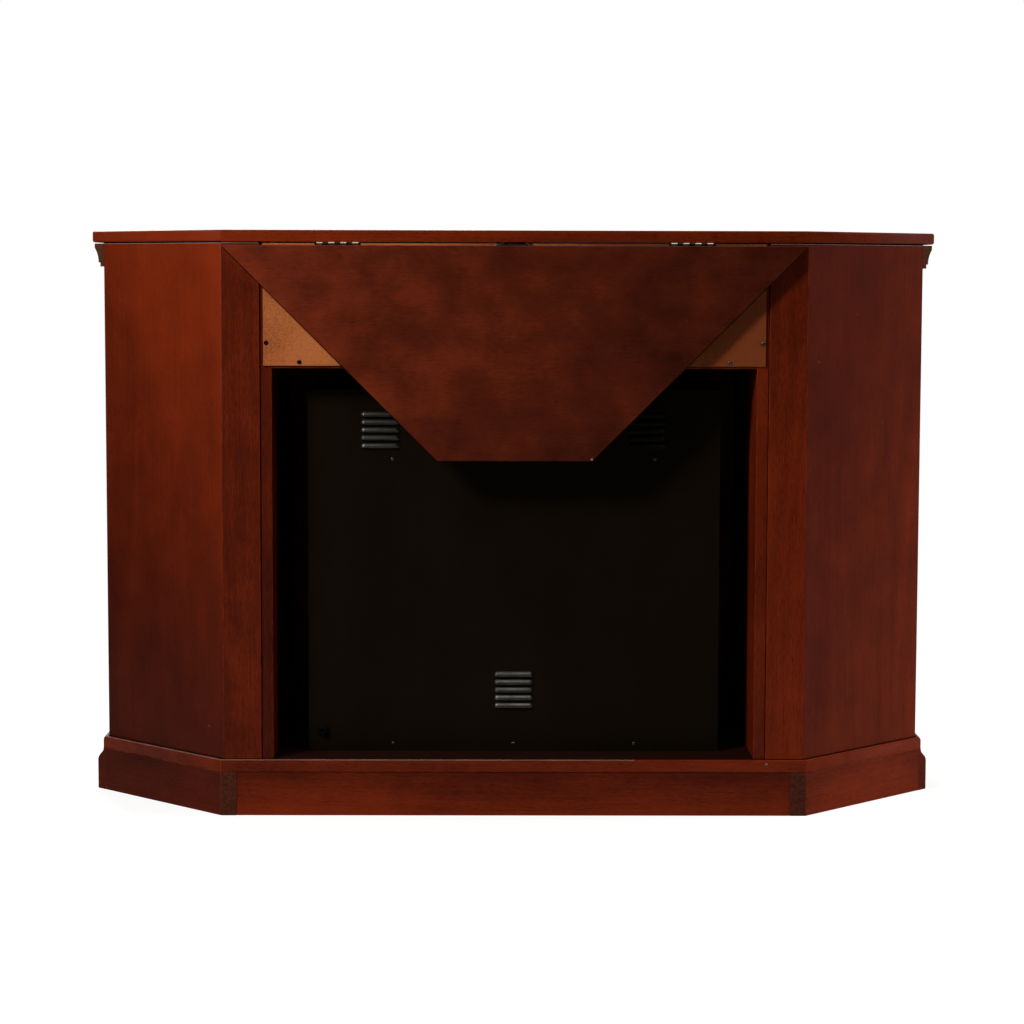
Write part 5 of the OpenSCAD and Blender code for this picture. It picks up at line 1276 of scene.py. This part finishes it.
class FIREPLACE_OT_stage(bpy.types.Operator):
    """Sets up the floor, the world, the lights and the camera of the photograph"""
    bl_idname = "fireplace.stage"
    bl_label = "Stage"

    def execute(self, context):
        studio = context.scene.fireplace_studio
        self.make_floor(tuple(studio.floor))
        self.make_world(studio.ambient)
        for name, place, target, side, lights, mirrored in SOFTBOXES:
            softbox(name, place, target, side, getattr(studio, name), lights, mirrored)
        self.make_camera()
        context.scene.view_settings.view_transform = "Standard"
        return {"FINISHED"}

    def make_floor(self, colour):
        """A pale floor whose lit parts are white to the camera, and which keeps the shadow."""
        bm = bmesh.new()
        bmesh.ops.create_circle(bm, cap_ends=True, segments=64, radius=FLOOR_RADIUS)
        mesh = bpy.data.meshes.new("floor")
        bm.to_mesh(mesh)
        bm.free()
        material, tree = start_material("studio_floor")
        place = add(tree, "TexCoord", out="Object")
        far = add(tree, "VectorMath", {0: place}, operation="LENGTH", out="Value")
        away = add(tree, "MapRange", {0: far, 1: FLOOR_FADE[0], 2: FLOOR_FADE[1], 3: 0, 4: 1})
        seen, path = straight_sight(tree)
        mirrored = add(tree, "Math", {0: path["Is Glossy Ray"], 1: FLOOR_SHINE}, operation="MULTIPLY")
        lift = add(tree, "Math", {0: seen, 1: FLOOR_GLOW, 2: mirrored}, operation="MULTIPLY_ADD")
        dim = tuple(FLOOR_MIRRORED * c for c in colour)
        paint = add(tree, "Mix", {0: path["Is Glossy Ray"], 6: (*colour, 1), 7: (*dim, 1)},
                    data_type="RGBA", out=2)
        paint = add(tree, "BsdfDiffuse", {"Color": paint})
        glow = add(tree, "Emission", {"Color": (1, 1, 1, 1), "Strength": lift})
        near = add(tree, "AddShader", {0: paint, 1: glow})
        white = add(tree, "Emission", {"Color": (1, 1, 1, 1), "Strength": 1})
        fade = add(tree, "Math", {0: away, 1: seen}, operation="MULTIPLY")
        mixed = add(tree, "MixShader", {0: fade, 1: near, 2: white})
        add(tree, "OutputMaterial", {"Surface": mixed})
        mesh.materials.append(material)
        floor = bpy.data.objects.new("floor", mesh)
        bpy.context.scene.collection.objects.link(floor)

    def make_world(self, ambient):
        """White where it is seen; in reflections white behind the object and dim behind the camera."""
        world = bpy.data.worlds.new("studio")
        bpy.context.scene.world = world
        tree = empty_tree(world)
        direction = add(tree, "TexCoord", out="Generated")
        toward = add(tree, "VectorMath", {0: direction, 1: (0.5, 1, 0)}, out="Value",
                     operation="DOT_PRODUCT")
        mirrored = add(tree, "MapRange", {0: toward, 1: -1.1, 2: -0.1, 3: 0.4, 4: 0.02},
                       interpolation_type="SMOOTHSTEP")
        rise = add(tree, "SeparateXYZ", {0: direction}, out="Z")
        overhead = add(tree, "MapRange", {0: rise, 1: 0.5, 2: 0.8, 3: 0, 4: 1},
                       interpolation_type="SMOOTHSTEP")
        mirrored = add(tree, "Math", {0: mirrored, 1: overhead}, operation="MAXIMUM")
        seen, path = straight_sight(tree)
        level = add(tree, "Mix", {0: path["Is Glossy Ray"], 2: ambient, 3: mirrored}, data_type="FLOAT")
        level = add(tree, "Mix", {0: seen, 2: level, 3: 1.0}, data_type="FLOAT")
        sky = add(tree, "Background", {"Color": (1, 1, 1, 1), "Strength": level})
        add(tree, "OutputWorld", {"Surface": sky})

    def make_camera(self):
        """The camera of the photograph, from the fitted perspective."""
        turn = Matrix.Rotation(CAMERA_YAW, 3, "Z")
        ahead = turn @ Vector((0, -1, 0))
        right = turn @ Vector((-1, 0, 0))
        up = math.cos(CAMERA_PITCH) * Z_AXIS + math.sin(CAMERA_PITCH) * ahead
        ahead = math.cos(CAMERA_PITCH) * ahead - math.sin(CAMERA_PITCH) * Z_AXIS
        rolled_right = math.cos(CAMERA_ROLL) * right + math.sin(CAMERA_ROLL) * up
        rolled_up = math.cos(CAMERA_ROLL) * up - math.sin(CAMERA_ROLL) * right
        data = bpy.data.cameras.new("camera")
        data.sensor_width = SENSOR
        data.lens = FOCAL_PIXELS / PHOTO_SIDE * SENSOR
        camera = bpy.data.objects.new("camera", data)
        axes = Matrix((rolled_right, rolled_up, -ahead)).transposed()
        camera.matrix_world = Matrix.Translation(CAMERA_PLACE) @ axes.to_4x4()
        bpy.context.scene.collection.objects.link(camera)
        bpy.context.scene.camera = camera


OPERATORS = (FIREPLACE_OT_stage, FIREPLACE_OT_carcass, FIREPLACE_OT_mouldings, FIREPLACE_OT_doors,
             FIREPLACE_OT_leaf, FIREPLACE_OT_back, FIREPLACE_OT_rear_screws,
             FIREPLACE_OT_nail, FIREPLACE_OT_cord_gland, FIREPLACE_OT_firebox, FIREPLACE_OT_hardware,
             FIREPLACE_OT_fire, FIREPLACE_OT_controls)


class FIREPLACE_PT_panel(bpy.types.Panel):
    """Lists the fireplace's pieces, sizes and colours"""
    bl_idname = "FIREPLACE_PT_panel"
    bl_label = "Corner fireplace"
    bl_space_type = "VIEW_3D"
    bl_region_type = "UI"
    bl_category = "Fireplace"

    def draw(self, context):
        for operator in OPERATORS:
            self.layout.operator(operator.bl_idname)
        for group in (context.scene.fireplace_sizes, context.scene.fireplace_colours,
                      context.scene.fireplace_studio):
            box = self.layout.box()
            for name in group.__annotations__:
                box.prop(group, name)


GROUPS = {"fireplace_sizes": FireplaceSizes, "fireplace_colours": FireplaceColours,
          "fireplace_studio": FireplaceStudio}


def register():
    """Adds the groups of properties, the operators and the panel."""
    for cls in (*GROUPS.values(), *OPERATORS, FIREPLACE_PT_panel):
        bpy.utils.register_class(cls)
    for name, group in GROUPS.items():
        setattr(bpy.types.Scene, name, PointerProperty(type=group))


def unregister():
    """Takes away what register added."""
    for name in GROUPS:
        delattr(bpy.types.Scene, name)
    for cls in reversed((*GROUPS.values(), *OPERATORS, FIREPLACE_PT_panel)):
        bpy.utils.unregister_class(cls)


def main():
    """Builds the looks on the frame."""
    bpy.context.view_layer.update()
    register()
    for operator in OPERATORS:
        name = operator.bl_idname.split(".")[1]
        getattr(bpy.ops.fireplace, name)()


if __name__ == "__main__":
    main()
